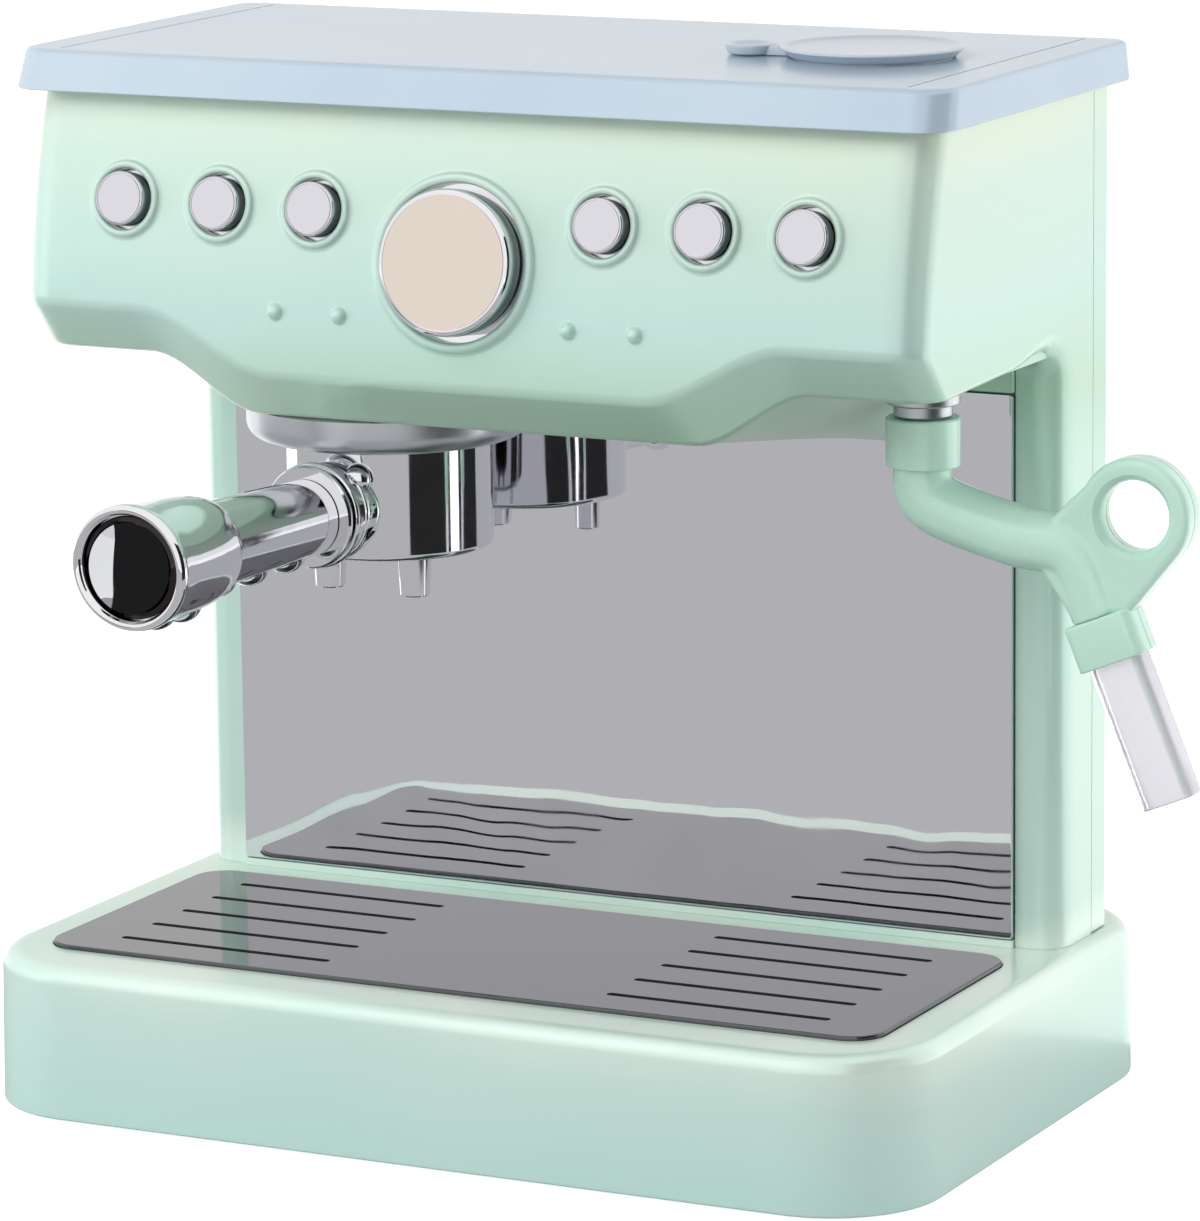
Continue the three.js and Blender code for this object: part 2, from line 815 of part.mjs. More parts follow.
function headInner() {
  const half = houseHalf - houseWall;
  const corner = headCorner - houseWall;
  const high = houseTop + overrun;
  const sections = headStations(half, corner).map((x) => {
    const back = cornerBack(x, half, corner);
    const edge = fasciaEdge(x) + houseWall / 2;
    const at = (y, z) => new THREE.Vector3(x, y, z);
    const front = steps(fasciaSteps).map((t) => {
      const z = high + (edge - high) * t;
      return at(fasciaY(z, houseWall) + back, z);
    });
    const lower = at(-chamferInner + back, chamferEdge(x));
    const below = bellyMiddle - overrun;
    return [
      at(seamY + overrun, high),
      ...front,
      lower,
      at(-chamferInner + back + weld, below),
      at(seamY + overrun, below),
    ];
  });
  return loft(sections, (p) => new THREE.Vector2(p.y, p.z));
}

// A frame on the fascia whose +Z points out of it
function fasciaFrame(parent, x, z) {
  const made = group(parent, x, fasciaY(z), z);
  made.rotation.x = Math.PI / 2 - fasciaLean(z);
  return made;
}

// A raised disc with a rounded rim; the hole for the button makes a ring of it
function fasciaRing(radius, hole, proud, sides) {
  const soft = (radius - hole) / 2;
  const rim = arc(0, 0, 1, 0, 180, 3).map(([out, up]) => [
    radius - soft + soft * out,
    proud / 2 + (proud / 2) * up,
  ]);
  return turned([[0, -houseWall / 2], [radius, -houseWall / 2], ...rim, [0, proud / 2]], sides);
}

function pillar(side) {
  const inner = houseHalf - pillarWidth;
  const outline = (wall) => {
    const shape = new THREE.Shape();
    const outer = houseHalf - wall;
    const front = pillarFront + wall;
    const corner = pillarCorner - wall;
    const back = seamY + (wall ? overrun : 0);
    shape.moveTo(inner + wall, front);
    shape.lineTo(outer - corner, front);
    shape.absarc(outer - corner, front + corner, corner, -Math.PI / 2, 0, false);
    shape.lineTo(outer, back);
    shape.lineTo(inner + wall, back);
    return shape;
  };
  const extrude = (shape, low, high) => {
    const options = { depth: high - low, bevelEnabled: false, curveSegments: cornerSteps };
    const made = new THREE.ExtrudeGeometry(shape, options).translate(0, 0, low);
    return solid(side < 0 ? made.scale(-1, 1, 1) : made);
  };
  const outer = extrude(outline(0), towerFoot, beamTop);
  const channel = extrude(outline(houseWall), towerFoot + pillarPlug, beamTop + overrun);
  const x = [inner, houseHalf - houseWall / 2].map((v) => side * v).sort((a, b) => a - b);
  const blocks = coverScrewHeights.map((z) =>
    solid(block(x, [pillarFront + pillarCorner, seamY], [z - blockHeight / 2, z + blockHeight / 2])),
  );
  return join(cut(outer, channel), ...blocks);
}

// Rounds the inside corner where a side wall of the head meets its pillar
function sideGusset(side) {
  const y = sideFilletY;
  const z = sideEdge;
  const shape = new THREE.Shape();
  shape.moveTo(y + houseWall, z + houseWall);
  shape.lineTo(y - sideFillet, z + houseWall);
  shape.lineTo(y - sideFillet, z);
  shape.absarc(y - sideFillet, z - sideFillet, sideFillet, Math.PI / 2, 0, true);
  shape.lineTo(y + houseWall, z - sideFillet);
  const made = new THREE.ExtrudeGeometry(shape, {
    depth: houseWall,
    bevelEnabled: false,
    curveSegments: cornerSteps,
  });
  made.rotateY(Math.PI / 2).rotateX(Math.PI / 2);
  made.translate(side > 0 ? houseHalf - houseWall : -houseHalf, 0, 0);
  return solid(made);
}

const frameBack = mirrorFront + mirrorThickness + gap + frameThickness;

function mainHousing(root) {
  const half = houseHalf - pillarWidth;
  const middle = half + houseWall / 2; // reaches into the pillars
  const head = cut(solid(headOuter()), solid(headInner()));
  const behindMirror = [mirrorFront + mirrorThickness + gap, frameBack];
  const frame = cut(
    solid(block([-middle, middle], behindMirror, [towerFoot, beamTop])),
    solid(
      block(
        [frameLip - half, half - frameLip],
        [-overrun, seamY + overrun],
        [towerFoot + frameLip + sillHeight, mirrorTop - frameLip],
      ),
    ),
  );
  const overMirror = [mirrorFront, frameBack];
  const beam = solid(block([-middle, middle], overMirror, [mirrorTop + gap, beamTop]));
  const sill = solid(block([-middle, middle], overMirror, [towerFoot, towerFoot + sillHeight]));
  const notch = [-1, 1].map((side) => {
    const x = side > 0 ? [half, houseHalf + overrun] : [-houseHalf - overrun, -half];
    return solid(block(x, [mirrorFront - overrun, pillarFront], [0, sideEdge]));
  });
  const towerHoles = [-1, 1].map((side) =>
    solid(
      rod(
        screwRadius + gap,
        towerFoot - overrun,
        towerScrewSeat + screwLength + gap,
        smallSides,
      ).translate(side * plugX, plugY, 0),
    ),
  );
  const coverHoles = coverScrewFrames(root).map((frameAt) => solidIn(frameAt, screwCut()));
  const panel = fasciaFrame(root, 0, smallRowZ);
  const posts = [-1, 1].flatMap((sx) =>
    [-1, 1].map((sv) =>
      solidIn(
        panel,
        rod(postRadius, -boardDepth + gap, -houseWall / 2, smallSides).translate(
          sx * postX,
          sv * postV,
          0,
        ),
      ),
    ),
  );
  const smallSpots = smallColumns.map((x) => fasciaFrame(root, x, smallRowZ));
  const brewSpot = fasciaFrame(root, 0, brewZ);
  const smallHole = smallRadius + buttonClearance;
  const brewHole = brewRadius + buttonClearance;
  const smallRing = [smallRingRadius, smallHole, smallRingProud, mediumSides];
  const brewRing = [brewRingRadius, brewHole, brewRingProud, fineSides];
  const rings = [
    ...smallSpots.map((at) => solidIn(at, fasciaRing(...smallRing))),
    solidIn(brewSpot, fasciaRing(...brewRing)),
  ];
  const holes = [
    ...smallSpots.map((at) => solidIn(at, rod(smallHole, -overrun, overrun, mediumSides))),
    solidIn(brewSpot, rod(brewHole, -overrun, overrun, fineSides)),
    solidIn(brewSpot, rod(brewFlange + gap, -houseWall - overrun, -houseWall, fineSides)),
  ];
  const dots = dotColumns.map((x) =>
    solidIn(fasciaFrame(root, x, dotZ), new THREE.SphereGeometry(dotRadius, smallSides, smallSides / 2)),
  );
  const house = join(
    head,
    pillar(-1),
    pillar(1),
    sideGusset(-1),
    sideGusset(1),
    cut(join(frame, beam, sill), ...notch),
    ...posts,
    ...rings,
    ...dots,
  );
  return cut(house, ...holes, ...towerHoles, ...coverHoles);
}

// Frames of the cover screws: +Z points forward, along the shank
const coverScrewSeat = coverBack - screwSink;
function coverScrewFrames(root) {
  return [-1, 1].flatMap((side) =>
    coverScrewHeights.map((z) => {
      const made = group(root, side * plugX, coverScrewSeat, z);
      made.rotation.x = Math.PI / 2;
      return made;
    }),
  );
}

function backCover(root) {
  const z = [towerFoot, houseTop];
  const reach = coverBack - seamY - gap; // depth of the cover
  const shape = (half, from, to, corner) => {
    const made = new THREE.Shape();
    made.moveTo(-half, from);
    made.lineTo(half, from);
    made.absarc(half - corner, to - corner, corner, 0, Math.PI / 2, false);
    made.absarc(-half + corner, to - corner, corner, Math.PI / 2, Math.PI, false);
    return made;
  };
  const extrude = (outline, low, high) =>
    solid(
      new THREE.ExtrudeGeometry(outline, {
        depth: high - low,
        bevelEnabled: false,
        curveSegments: cornerSteps,
      }).translate(0, 0, low),
    );
  const front = coverBack - reach;
  const outer = extrude(shape(houseHalf, front, coverBack, coverCorner), z[0], z[1]);
  const inner = extrude(
    shape(
      houseHalf - coverWall,
      front - overrun,
      coverBack - coverWall,
      coverCorner - coverWall,
    ),
    z[0] + coverWall,
    z[1] + overrun,
  );
  const blocks = [-1, 1].flatMap((side) =>
    coverScrewHeights.map((height) => {
      const x = [plugX - blockHeight / 2, houseHalf - coverWall / 2].map((v) => side * v);
      x.sort((a, b) => a - b);
      const rise = [height - blockHeight / 2, height + blockHeight / 2];
      return solid(block(x, [front, coverBack - coverWall / 2], rise));
    }),
  );
  const holes = coverScrewFrames(root).map((at) => solidIn(at, screwCut()));
  return cut(join(cut(outer, inner), ...blocks), ...holes);
}

function mirrorPanel() {
  const half = houseHalf - pillarWidth - gap;
  const low = towerFoot + sillHeight + gap;
  const shape = new THREE.Shape(roundRect(half, (mirrorTop - low) / 2, mirrorCorner));
  const made = new THREE.ExtrudeGeometry(shape, { depth: mirrorThickness, bevelEnabled: false });
  return solid(
    made.rotateX(Math.PI / 2).translate(0, mirrorFront + mirrorThickness, (mirrorTop + low) / 2),
  );
}

// Underside shell

function bellySkin(rise, wall, [front, back]) {
  const half = houseHalf - houseWall - gap - wall;
  const xs = [
    ...steps(waveSteps).map((t) => chamferWaveInner + (bellyWaveOuter - chamferWaveInner) * t),
    half,
  ];
  const across = [...xs.map((x) => -x).reverse(), ...xs];
  const sections = steps(bellySteps).map((t) => {
    const y = front + (back - front) * t;
    const z = (x) => {
      const along = share(y, -chamferInner + gap, mirrorFront - gap);
      return chamferEdge(x) + (bellyEdge(x) - chamferEdge(x)) * along;
    };
    const low = across.map((x) => new THREE.Vector3(x, y, z(x) + rise[0]));
    const high = across.map((x) => new THREE.Vector3(x, y, z(x) + rise[1])).reverse();
    return [...low, ...high];
  });
  return loft(sections, (p) => new THREE.Vector2(p.x, p.z));
}

function undersideShell() {
  const span = [-chamferInner + gap, mirrorFront - gap];
  const within = [span[0] + bellySheet, span[1] - bellySheet];
  const outer = solid(bellySkin([0, bellySkirt], 0, span));
  const inner = solid(bellySkin([bellySheet, bellySkirt + overrun], bellySheet, within));
  const deep = [bellyMiddle - overrun, sideEdge + bellySkirt + overrun];
  const groupHole = rod(ringRadius + gap, ...deep, fineSides).translate(groupX, groupY, 0);
  const wandHole = rod(swivelRadius + gap, ...deep, mediumSides).translate(wandX, wandY, 0);
  const footprint = slab(
    houseHalf - houseWall - gap,
    span[1] - span[0],
    headCorner - houseWall - gap,
    deep,
    0,
    span[1],
  );
  return cut(outer, inner, solid(groupHole), solid(wandHole)).intersect(solid(footprint));
}

// Lid tray and filler cap

const lidTop = headTop + lidRise;
const lidHalfX = houseHalf + lidOverSide;
const lidFront = -headFrontTop - lidOverFront;
const lidBack = coverBack + lidOverBack;
const pocketRadius = capPlugRadius + gap;

function lidTray() {
  const level = (t, inset) => {
    const front = lidFront + lidDraftFront * t + inset;
    const back = lidBack - lidDraftBack * t - inset;
    return {
      z: 0,
      halfX: lidHalfX - lidDraftSide * t - inset,
      halfY: (back - front) / 2,
      y: (back + front) / 2,
      corner: lidCorner - inset,
    };
  };
  const rounded = arc(0, lidTop - lidEdge, lidEdge, 0, 90).map(([out, z]) => {
    const t = (z - headTop) / lidRise;
    return { ...level(t, lidEdge - out), z };
  });
  const outer = stack([{ ...level(0, 0), z: headTop }, ...rounded]);
  const seatHalfX = houseHalf - houseWall - gap;
  const lipFront = fasciaY(houseTop, houseWall) + gap;
  const lipBack = coverBack - coverWall - gap;
  const lip = (inset, z) =>
    solid(
      slab(
        seatHalfX - inset,
        (lipBack - lipFront) / 2 - inset,
        headCorner - houseWall - gap - inset,
        z,
        0,
        (lipBack + lipFront) / 2,
      ),
    );
  const pocketFloor = lidTop - pocketDepth;
  const pocket = turned(
    [
      [0, pocketFloor - lidWall],
      [pocketRadius + lidWall, pocketFloor - lidWall],
      [pocketRadius + lidWall, lidTop - lidWall / 2],
      [0, lidTop - lidWall / 2],
    ],
    fineSides,
  ).translate(capX, capY, 0);
  const hollow = rod(pocketRadius, pocketFloor, lidTop + overrun, fineSides);
  const shell = cut(
    join(solid(outer), lip(0, [headTop - lipDepth, headTop + lidWall])),
    lip(lipThickness, [headTop - lipDepth - overrun, lidTop - lidWall]),
  );
  return cut(join(shell, solid(pocket)), solid(hollow.translate(capX, capY, 0)));
}

function fillerCap() {
  const low = lidTop + gap;
  const high = low + capHeight;
  const waist = capRadius - capWaist;
  const disc = turned(
    [
      [0, low - capPlugDepth],
      [capPlugRadius, low - capPlugDepth],
      [capPlugRadius, low],
      [capRadius, low],
      [waist, low + capHeight / 3],
      [waist, high - capHeight / 3],
      [capRadius, high],
      [capRadius - capWaist, high],
      [0, high - capDish],
    ],
    fineSides,
  );
  const frame = new THREE.Matrix4()
    .makeTranslation(capX, capY, 0)
    .multiply(new THREE.Matrix4().makeRotationZ(Math.PI + radians(tabTurn)));
  const outline = new THREE.Shape();
  const lean = Math.acos((tabRadius - tabNeck) / (tabReach - capRadius));
  outline.moveTo(capRadius - capWaist * 2, -tabNeck);
  outline.lineTo(capRadius + capWaist, -tabNeck);
  const from = (Math.PI + lean) / 2;
  outline.absarc(tabReach, 0, tabRadius, -from, from, false);
  outline.lineTo(capRadius + capWaist, tabNeck);
  outline.lineTo(capRadius - capWaist * 2, tabNeck);
  const tab = new THREE.ExtrudeGeometry(outline, {
    depth: capHeight * tabHeightShare,
    bevelEnabled: false,
    curveSegments: smallSides,
  }).translate(0, 0, low);
  const dish = new THREE.SphereGeometry(tabRadius, mediumSides, smallSides);
  const dishZ = low + capHeight * tabHeightShare + tabRadius - tabDish;
  dish.translate(tabReach, 0, dishZ);
  const knob = cut(solid(tab.applyMatrix4(frame)), solid(dish.applyMatrix4(frame)));
  return join(solid(disc.translate(capX, capY, 0)), knob);
}

// Buttons, in a frame whose +Z points out of the fascia

function pushButton(radius, proud, edge, flange, stemEnd, sides) {
  const inside = -houseWall - gap;
  return solid(
    turned(
      [
        [0, inside - flangeThickness - stemEnd],
        [stemRadius, inside - flangeThickness - stemEnd],
        [stemRadius, inside - flangeThickness],
        [flange, inside - flangeThickness],
        [flange, inside],
        [radius, inside],
        ...arc(radius - edge, proud - edge, edge, 0, 90),
        [0, proud],
      ],
      sides,
    ),
  );
}

function circuitBoard() {
  const z = [-boardDepth - boardThickness, -boardDepth];
  return solid(block([-boardHalf, boardHalf], [boardLow, boardHigh], z));
}

function keypadSheet() {
  const low = -boardDepth + gap;
  const high = low + keypadThickness;
  const rows = [boardLow + keypadThickness, boardHigh - keypadThickness];
  const sheet = solid(block([-keypadHalf, keypadHalf], rows, [low, high]));
  const brewV = -fasciaRadius * (fasciaLean(smallRowZ) - fasciaLean(brewZ));
  const spots = [...smallColumns.map((x) => [x, 0]), [0, brewV]];
  const domes = spots.map(([x, v]) =>
    solid(
      turned(
        [
          [0, low + keypadThickness / 2],
          [domeRadius, low + keypadThickness / 2],
          [domeRadius, high],
          [domeRadius - domeHeight, high + domeHeight],
          [0, high + domeHeight],
        ],
        smallSides,
      ).translate(x, v, 0),
    ),
  );
  return join(sheet, ...domes);
}

// Group ring and portafilter

function groupRing() {
  return solid(
    turned(
      [
        [0, ringCeiling],
        [ringBore, ringCeiling],
        [ringBore, ringBottom],
        ...arc(ringRadius - ringEdge, ringBottom + ringEdge, ringEdge, 270, 360, 5),
        [ringRadius, ringTop],
        [hubRadius, ringTop],
        [hubRadius, hubTop],
        [0, hubTop],
      ],
      fineSides,
    ),
  );
}

function portafilterCup() {
  const outer = turned(
    [
      [0, cupBottom],
      ...arc(cupRadius - cupEdge, cupBottom + cupEdge, cupEdge, 270, 360, 2),
      [cupRadius, cupTop],
      [0, cupTop],
    ],
    fineSides,
  );
  const inner = rod(cupInner, cupBottom + cupFloor, cupTop + overrun, fineSides);
  const neck = turned(
    [
      [0, neckRoot],
      [neckFlangeRadius, neckRoot],
      [neckFlangeRadius, neckFlangeEnd],
      [neckRadius, neckFlangeEnd],
      [neckRadius, neckEnd],
      [0, neckEnd],
    ],
    mediumSides,
  )
    .rotateX(Math.PI / 2)
    .translate(0, 0, handleZ);
  const lugReach = ringBore - gap;
  const lugRing = cut(
    solid(rod(lugReach, cupTop - lugBelow - lugHeight, cupTop - lugBelow, fineSides)),
    solid(block([-lugReach, lugReach], [lugWidth / 2, lugReach + overrun], [0, cupTop])),
    solid(block([-lugReach, lugReach], [-lugReach - overrun, -lugWidth / 2], [0, cupTop])),
  );
  const boss = new THREE.SphereGeometry(bossRadius, smallSides, smallSides / 2);
  const turn = radians(bossTurn);
  boss.translate(cupRadius * Math.sin(turn), -cupRadius * Math.cos(turn), bossZ);
  const spoutHoles = [-1, 1].map((side) =>
    solid(
      rod(spoutNeck + gap, cupBottom - overrun, cupBottom + cupFloor + gap, smallSides).translate(
        side * spoutSpread,
        -spoutAhead,
        0,
      ),
    ),
  );
  const body = join(solid(outer), solid(neck), lugRing, solid(boss));
  return cut(body, solid(inner), ...spoutHoles);
}

function filterBasket() {
  const reach = cupInner - gap;
  const low = cupTop + gap;
  return solid(
    turned(
      [
        [0, low - basketDepth],
        [reach, low - basketDepth],
        [reach, low],
        [basketRimReach, low],
        [basketRimReach, low + basketRim],
        [reach - basketWall, low + basketRim],
        [reach - basketWall, low - basketDepth + basketWall],
        [0, low - basketDepth + basketWall],
      ],
      fineSides,
    ),
  );
}

function spout() {
  const top = cupBottom - gap;
  return solid(
    turned(
      [
        [spoutBore, top - spoutLength],
        [spoutTipRadius, top - spoutLength],
        [spoutRadius, top],
        [spoutNeck, top],
        [spoutNeck, top + spoutNeckRise],
        [spoutBore, top + spoutNeckRise],
      ],
      smallSides,
    ),
  );
}

// Handle pieces are turned about the handle's axis, with distances from the cup's axis

function handleCollar() {
  const start = neckEnd + gap;
  return solid(
    turned(
      [
        [0, start],
        [collarRadius, start],
        [collarRadius, collarFirstEnd],
        [collarGroove, collarFirstEnd],
        [collarGroove, collarSecondStart],
        [collarSecond, collarSecondStart],
        [collarSecond, collarEnd - gap],
        [0, collarEnd - gap],
      ],
      mediumSides,
    ),
  );
}

// Low finger pads along the underside of a handle piece
function fingerPads(places, radiusAt) {
  return places.map((place) => {
    const pad = new THREE.SphereGeometry(1, smallSides, smallSides / 2);
    pad.scale(fingerHalfWidth, fingerProud * 2, fingerHalfLength);
    return solid(pad.translate(0, -radiusAt(place) + fingerProud, place));
  });
}

function handleShaft() {
  const start = collarEnd;
  const end = shaftEnd - gap;
  const body = turned([[0, start], [shaftFront, start], [shaftBack, end], [0, end]], mediumSides);
  const radiusAt = (place) =>
    shaftFront + (shaftBack - shaftFront) * share(place, collarEnd, shaftEnd);
  return join(solid(body), ...fingerPads(dotsBelow, radiusAt));
}

const endCapFace = gripEnd - gripRecessDepth + gap + endCapThickness;

function handleGrip() {
  const body = turned(
    [
      [0, shaftEnd],
      [gripFront, shaftEnd],
      [gripBack, shaftEnd + gripSwell],
      ...arc(gripBack - gripRim, gripEnd - gripRim, gripRim, 0, 90, 3).slice(0, -1),
      [gripRecess, gripEnd],
      [0, gripEnd],
    ],
    fineSides,
  );
  const recess = turned(
    [
      [0, gripEnd - gripRecessDepth],
      [endCapRadius + gap, gripEnd - gripRecessDepth],
      [endCapRadius + gap, endCapFace],
      [gripRecess, gripEnd],
      [gripRecess, gripEnd + overrun],
      [0, gripEnd + overrun],
    ],
    fineSides,
  );
  return cut(join(solid(body), ...fingerPads(gripDotsBelow, () => gripBack)), solid(recess));
}

function handleEndCap() {
  return solid(rod(endCapRadius, endCapFace - endCapThickness, endCapFace, fineSides));
}

// Steam wand, drawn about its swivel axis and cut in two along its middle plane

function wandCollar() {
  return solid(
    turned(
      [
        [pegRadius + gap, swivelLow],
        [swivelLowRadius, swivelLow],
        [swivelLowRadius, swivelStep],
        [swivelRadius, swivelStep],
        [swivelRadius, swivelTop],
        [swivelFlange, swivelTop],
        [swivelFlange, swivelTop + swivelFlangeHeight],
        [pegRadius + gap, swivelTop + swivelFlangeHeight],
      ],
      mediumSides,
    ),
  );
}

const clipLow = swivelTop + swivelFlangeHeight + gap;
const pegTop = clipLow + clipThickness + gap + pegTip;

function wandClip() {
  return solid(
    turned(
      [
        [pegRadius - clipGroove + gap, clipLow],
        [clipRadius, clipLow],
        [clipRadius, clipLow + clipThickness],
        [pegRadius - clipGroove + gap, clipLow + clipThickness],
      ],
      mediumSides,
    ),
  );
}

// The arm's centre line: down out of the socket, round the elbow and on to the sleeve
function armLine() {
  const elbowDrop = elbowRadius * elbowDropShare;
  const points = [
    [wandX, socketBottom + gap],
    [wandX, socketBottom - elbowDrop / 2],
    [wandX + elbowDrop / 2, socketBottom - elbowDrop * elbowBendShare],
    [wandX + (loopX - wandX) * armMidShare, loopZ - armRadius * armMidDropShare],
    [sleeveX - armRadius, sleeveZ + armRadius * 2],
    [sleeveX, sleeveZ],
  ];
  return new THREE.CatmullRomCurve3(points.map(([x, z]) => new THREE.Vector3(x, 0, z)));
}

// Sections across the arm, from the round elbow to the flatter neck of the sleeve
function wandArm() {
  const line = armLine();
  const sections = steps(armSteps).map((t) => {
    const at = line.getPointAt(t);
    const along = line.getTangentAt(t);
    const across = new THREE.Vector3(along.z, 0, -along.x);
    const slimmed = ease(share(t, 0, armFlatteningStart));
    const flattened = ease(share(t, armFlatteningStart, 1));
    const wide = elbowRadius + (armRadius - elbowRadius) * slimmed;
    const deep = wide + (plateHalf + plateSoft - wide) * flattened;
    return steps(smallSides)
      .slice(0, -1)
      .map((turn) => {
        const a = turn * 2 * Math.PI;
        const out = at.clone().addScaledVector(across, wide * Math.cos(a));
        return out.add(new THREE.Vector3(0, deep * Math.sin(a), 0));
      });
  });
  return loft(sections, (p) => new THREE.Vector2(p.x - p.z, p.y));
}

// The flat web that carries the finger loop, with softened faces
function wandWeb() {
  const outline = new THREE.Shape();
  const start = radians(loopStartTurn);
  const end = radians(loopEndTurn);
  outline.absarc(loopX, loopZ, loopRadius - plateSoft, end, start, false);
  outline.lineTo(wandX + (loopX - wandX) * webShares[0], loopZ - loopRadius * webShares[1]);
  outline.lineTo(wandX + (loopX - wandX) * webShares[2], loopZ - loopRadius * webShares[3]);
  outline.lineTo(sleeveX - (sleeveWidth / 2) * webShares[4], sleeveZ - webShares[5] * plateSoft);
  outline.lineTo(sleeveX + (sleeveWidth / 2) * webShares[6], sleeveZ + webShares[7] * plateSoft);
  const web = new THREE.ExtrudeGeometry(outline, {
    depth: (plateHalf - plateSoft) * 2,
    bevelEnabled: true,
    bevelThickness: plateSoft,
    bevelSize: plateSoft,
    bevelSegments: 2,
    curveSegments: smallSides,
  });
  return web.rotateX(Math.PI / 2).translate(0, plateHalf - plateSoft, 0);
}
const loopStartTurn = 152;
const loopEndTurn = -36;
const webShares = [0.62, 0.12, 0.5, 0.6, 0.85, 0.6, 0.8, 0.9];

// A rounded bar along the sleeve's direction, from one distance to another
function sleeveBar(width, depth, corner, [from, to]) {
  const bar = slab(width / 2, depth / 2, corner, [-to, -from]);
  return bar.rotateY(-radians(sleeveTurn)).translate(sleeveX, 0, sleeveZ);
}

function wandHalf(side) {
  const socket = turned(
    [
      [0, socketBottom],
      [socketRadius, socketBottom],
      [socketRadius, socketTop],
      [pegRadius, socketTop],
      [pegRadius, clipLow - gap],
      [pegRadius - clipGroove, clipLow - gap],
      [pegRadius - clipGroove, clipLow + clipThickness + gap],
      [pegRadius, clipLow + clipThickness + gap],
      [pegRadius, pegTop],
      [0, pegTop],
    ],
    mediumSides,
  ).translate(wandX, 0, 0);
  const eye = turned(
    [
      [0, -plateHalf - overrun],
      [loopHole + loopChamfer + overrun, -plateHalf - overrun],
      [loopHole, -plateHalf + loopChamfer],
      [loopHole, plateHalf - loopChamfer],
      [loopHole + loopChamfer + overrun, plateHalf + overrun],
      [0, plateHalf + overrun],
    ],
    mediumSides,
  )
    .rotateX(Math.PI / 2)
    .translate(loopX, 0, loopZ);
  const socketForNozzle = sleeveBar(
    nozzleWidth + gap * 2,
    nozzleDepth + gap * 2,
    nozzleCorner + gap,
    [sleeveLength - nozzleSeat - gap, sleeveLength + overrun],
  );
  const whole = join(
    solid(socket),
    solid(wandArm()),
    solid(wandWeb()),
    solid(sleeveBar(sleeveWidth, sleeveDepth, sleeveCorner, [0, sleeveLength])),
  );
  const wide = [wandX - socketRadius - overrun, loopX + loopRadius + overrun];
  const tall = [sleeveZ - sleeveLength * 2, pegTop + overrun];
  const reach = socketRadius + overrun;
  const keep = side < 0 ? [-reach, -gap / 2] : [gap / 2, reach];
  return cut(whole, solid(eye), solid(socketForNozzle)).intersect(solid(block(wide, keep, tall)));
}

function wandNozzle() {
  return solid(
    sleeveBar(nozzleWidth, nozzleDepth, nozzleCorner, [
      sleeveLength - nozzleSeat,
      sleeveLength + nozzleLength,
    ]),
  );
}

// The assembly

function buildBase(root) {
  piece(root, "base_housing", "pearlMint", baseHousing());
  piece(root, "drip_tray", "pearlMint", dripTray());
  piece(root, "base_bottom_plate", "pearlMint", bottomPlate());
  piece(root, "drip_plate", "darkChrome", dripPlate());
  piece(root, "battery_box", "blackPlastic", batteryBox());
  piece(root, "battery_door", "pearlMint", batteryDoor());
  piece(group(root, doorScrewX, batteryY, doorScrewSeat), "battery_door_screw", "steel", screw());
  piece(group(root, speakerX, speakerY, 0), "speaker", "blackPlastic", speaker());
  mirroredPlaces.forEach(([sx, sy], i) => {
    const foot = solid(rod(footRadius, -footHeight, footSeat - gap, mediumSides));
    piece(group(root, sx * footX, sy * footY, 0), "foot_" + (i + 1), "rubber", foot);
  });
  screwPlaces().forEach(([x, y], i) =>
    piece(group(root, x, y, baseScrewSeat), "base_screw_" + (i + 1), "steel", screw()),
  );
}

function buildTower(root) {
  piece(root, "main_housing", "pearlMint", mainHousing(root));
  piece(root, "back_cover", "pearlMint", backCover(root));
  piece(root, "mirror_panel", "mirror", mirrorPanel());
  coverScrewFrames(root).forEach((at, i) =>
    piece(at, "cover_screw_" + (i + 1), "steel", screw()),
  );
  for (const [side, name] of [[-1, "left"], [1, "right"]])
    piece(group(root, side * plugX, plugY, towerScrewSeat), "tower_screw_" + name, "steel", screw());
}

function buildHead(root) {
  piece(root, "underside_shell", "pearlMint", undersideShell());
  piece(root, "lid_tray", "pearlBlue", lidTray());
  piece(root, "filler_cap", "pearlBlue", fillerCap());
  const panel = fasciaFrame(root, 0, smallRowZ);
  piece(panel, "circuit_board", "board", circuitBoard());
  piece(panel, "keypad_membrane", "rubber", keypadSheet());
  smallColumns.forEach((x, i) => {
    const at = fasciaFrame(root, x, smallRowZ);
    const size = [smallRadius, smallProud, smallEdge, smallFlange, stemLength, mediumSides];
    piece(at, "button_" + (i + 1), "chrome", pushButton(...size));
  });
  const size = [brewRadius, brewProud, brewEdge, brewFlange, brewStemLength, fineSides];
  piece(fasciaFrame(root, 0, brewZ), "brew_button", "warmChrome", pushButton(...size));
}

function buildPortafilter(root) {
  piece(group(root, groupX, groupY, 0), "group_ring", "satinSilver", groupRing());
  const frame = group(root, groupX, groupY, 0);
  frame.rotation.z = -radians(handleTurn);
  piece(frame, "filter_basket", "steel", filterBasket());
  piece(frame, "portafilter_cup", "chrome", portafilterCup());
  for (const [side, name] of [[-1, "left"], [1, "right"]])
    piece(group(frame, side * spoutSpread, -spoutAhead, 0), "spout_" + name, "chrome", spout());
  const handle = group(frame, 0, 0, handleZ);
  handle.rotation.x = Math.PI / 2;
  piece(handle, "handle_collar", "chrome", handleCollar());
  piece(handle, "handle_shaft", "chrome", handleShaft());
  piece(handle, "handle_grip", "chrome", handleGrip());
  piece(handle, "handle_end_cap", "darkChrome", handleEndCap());
}

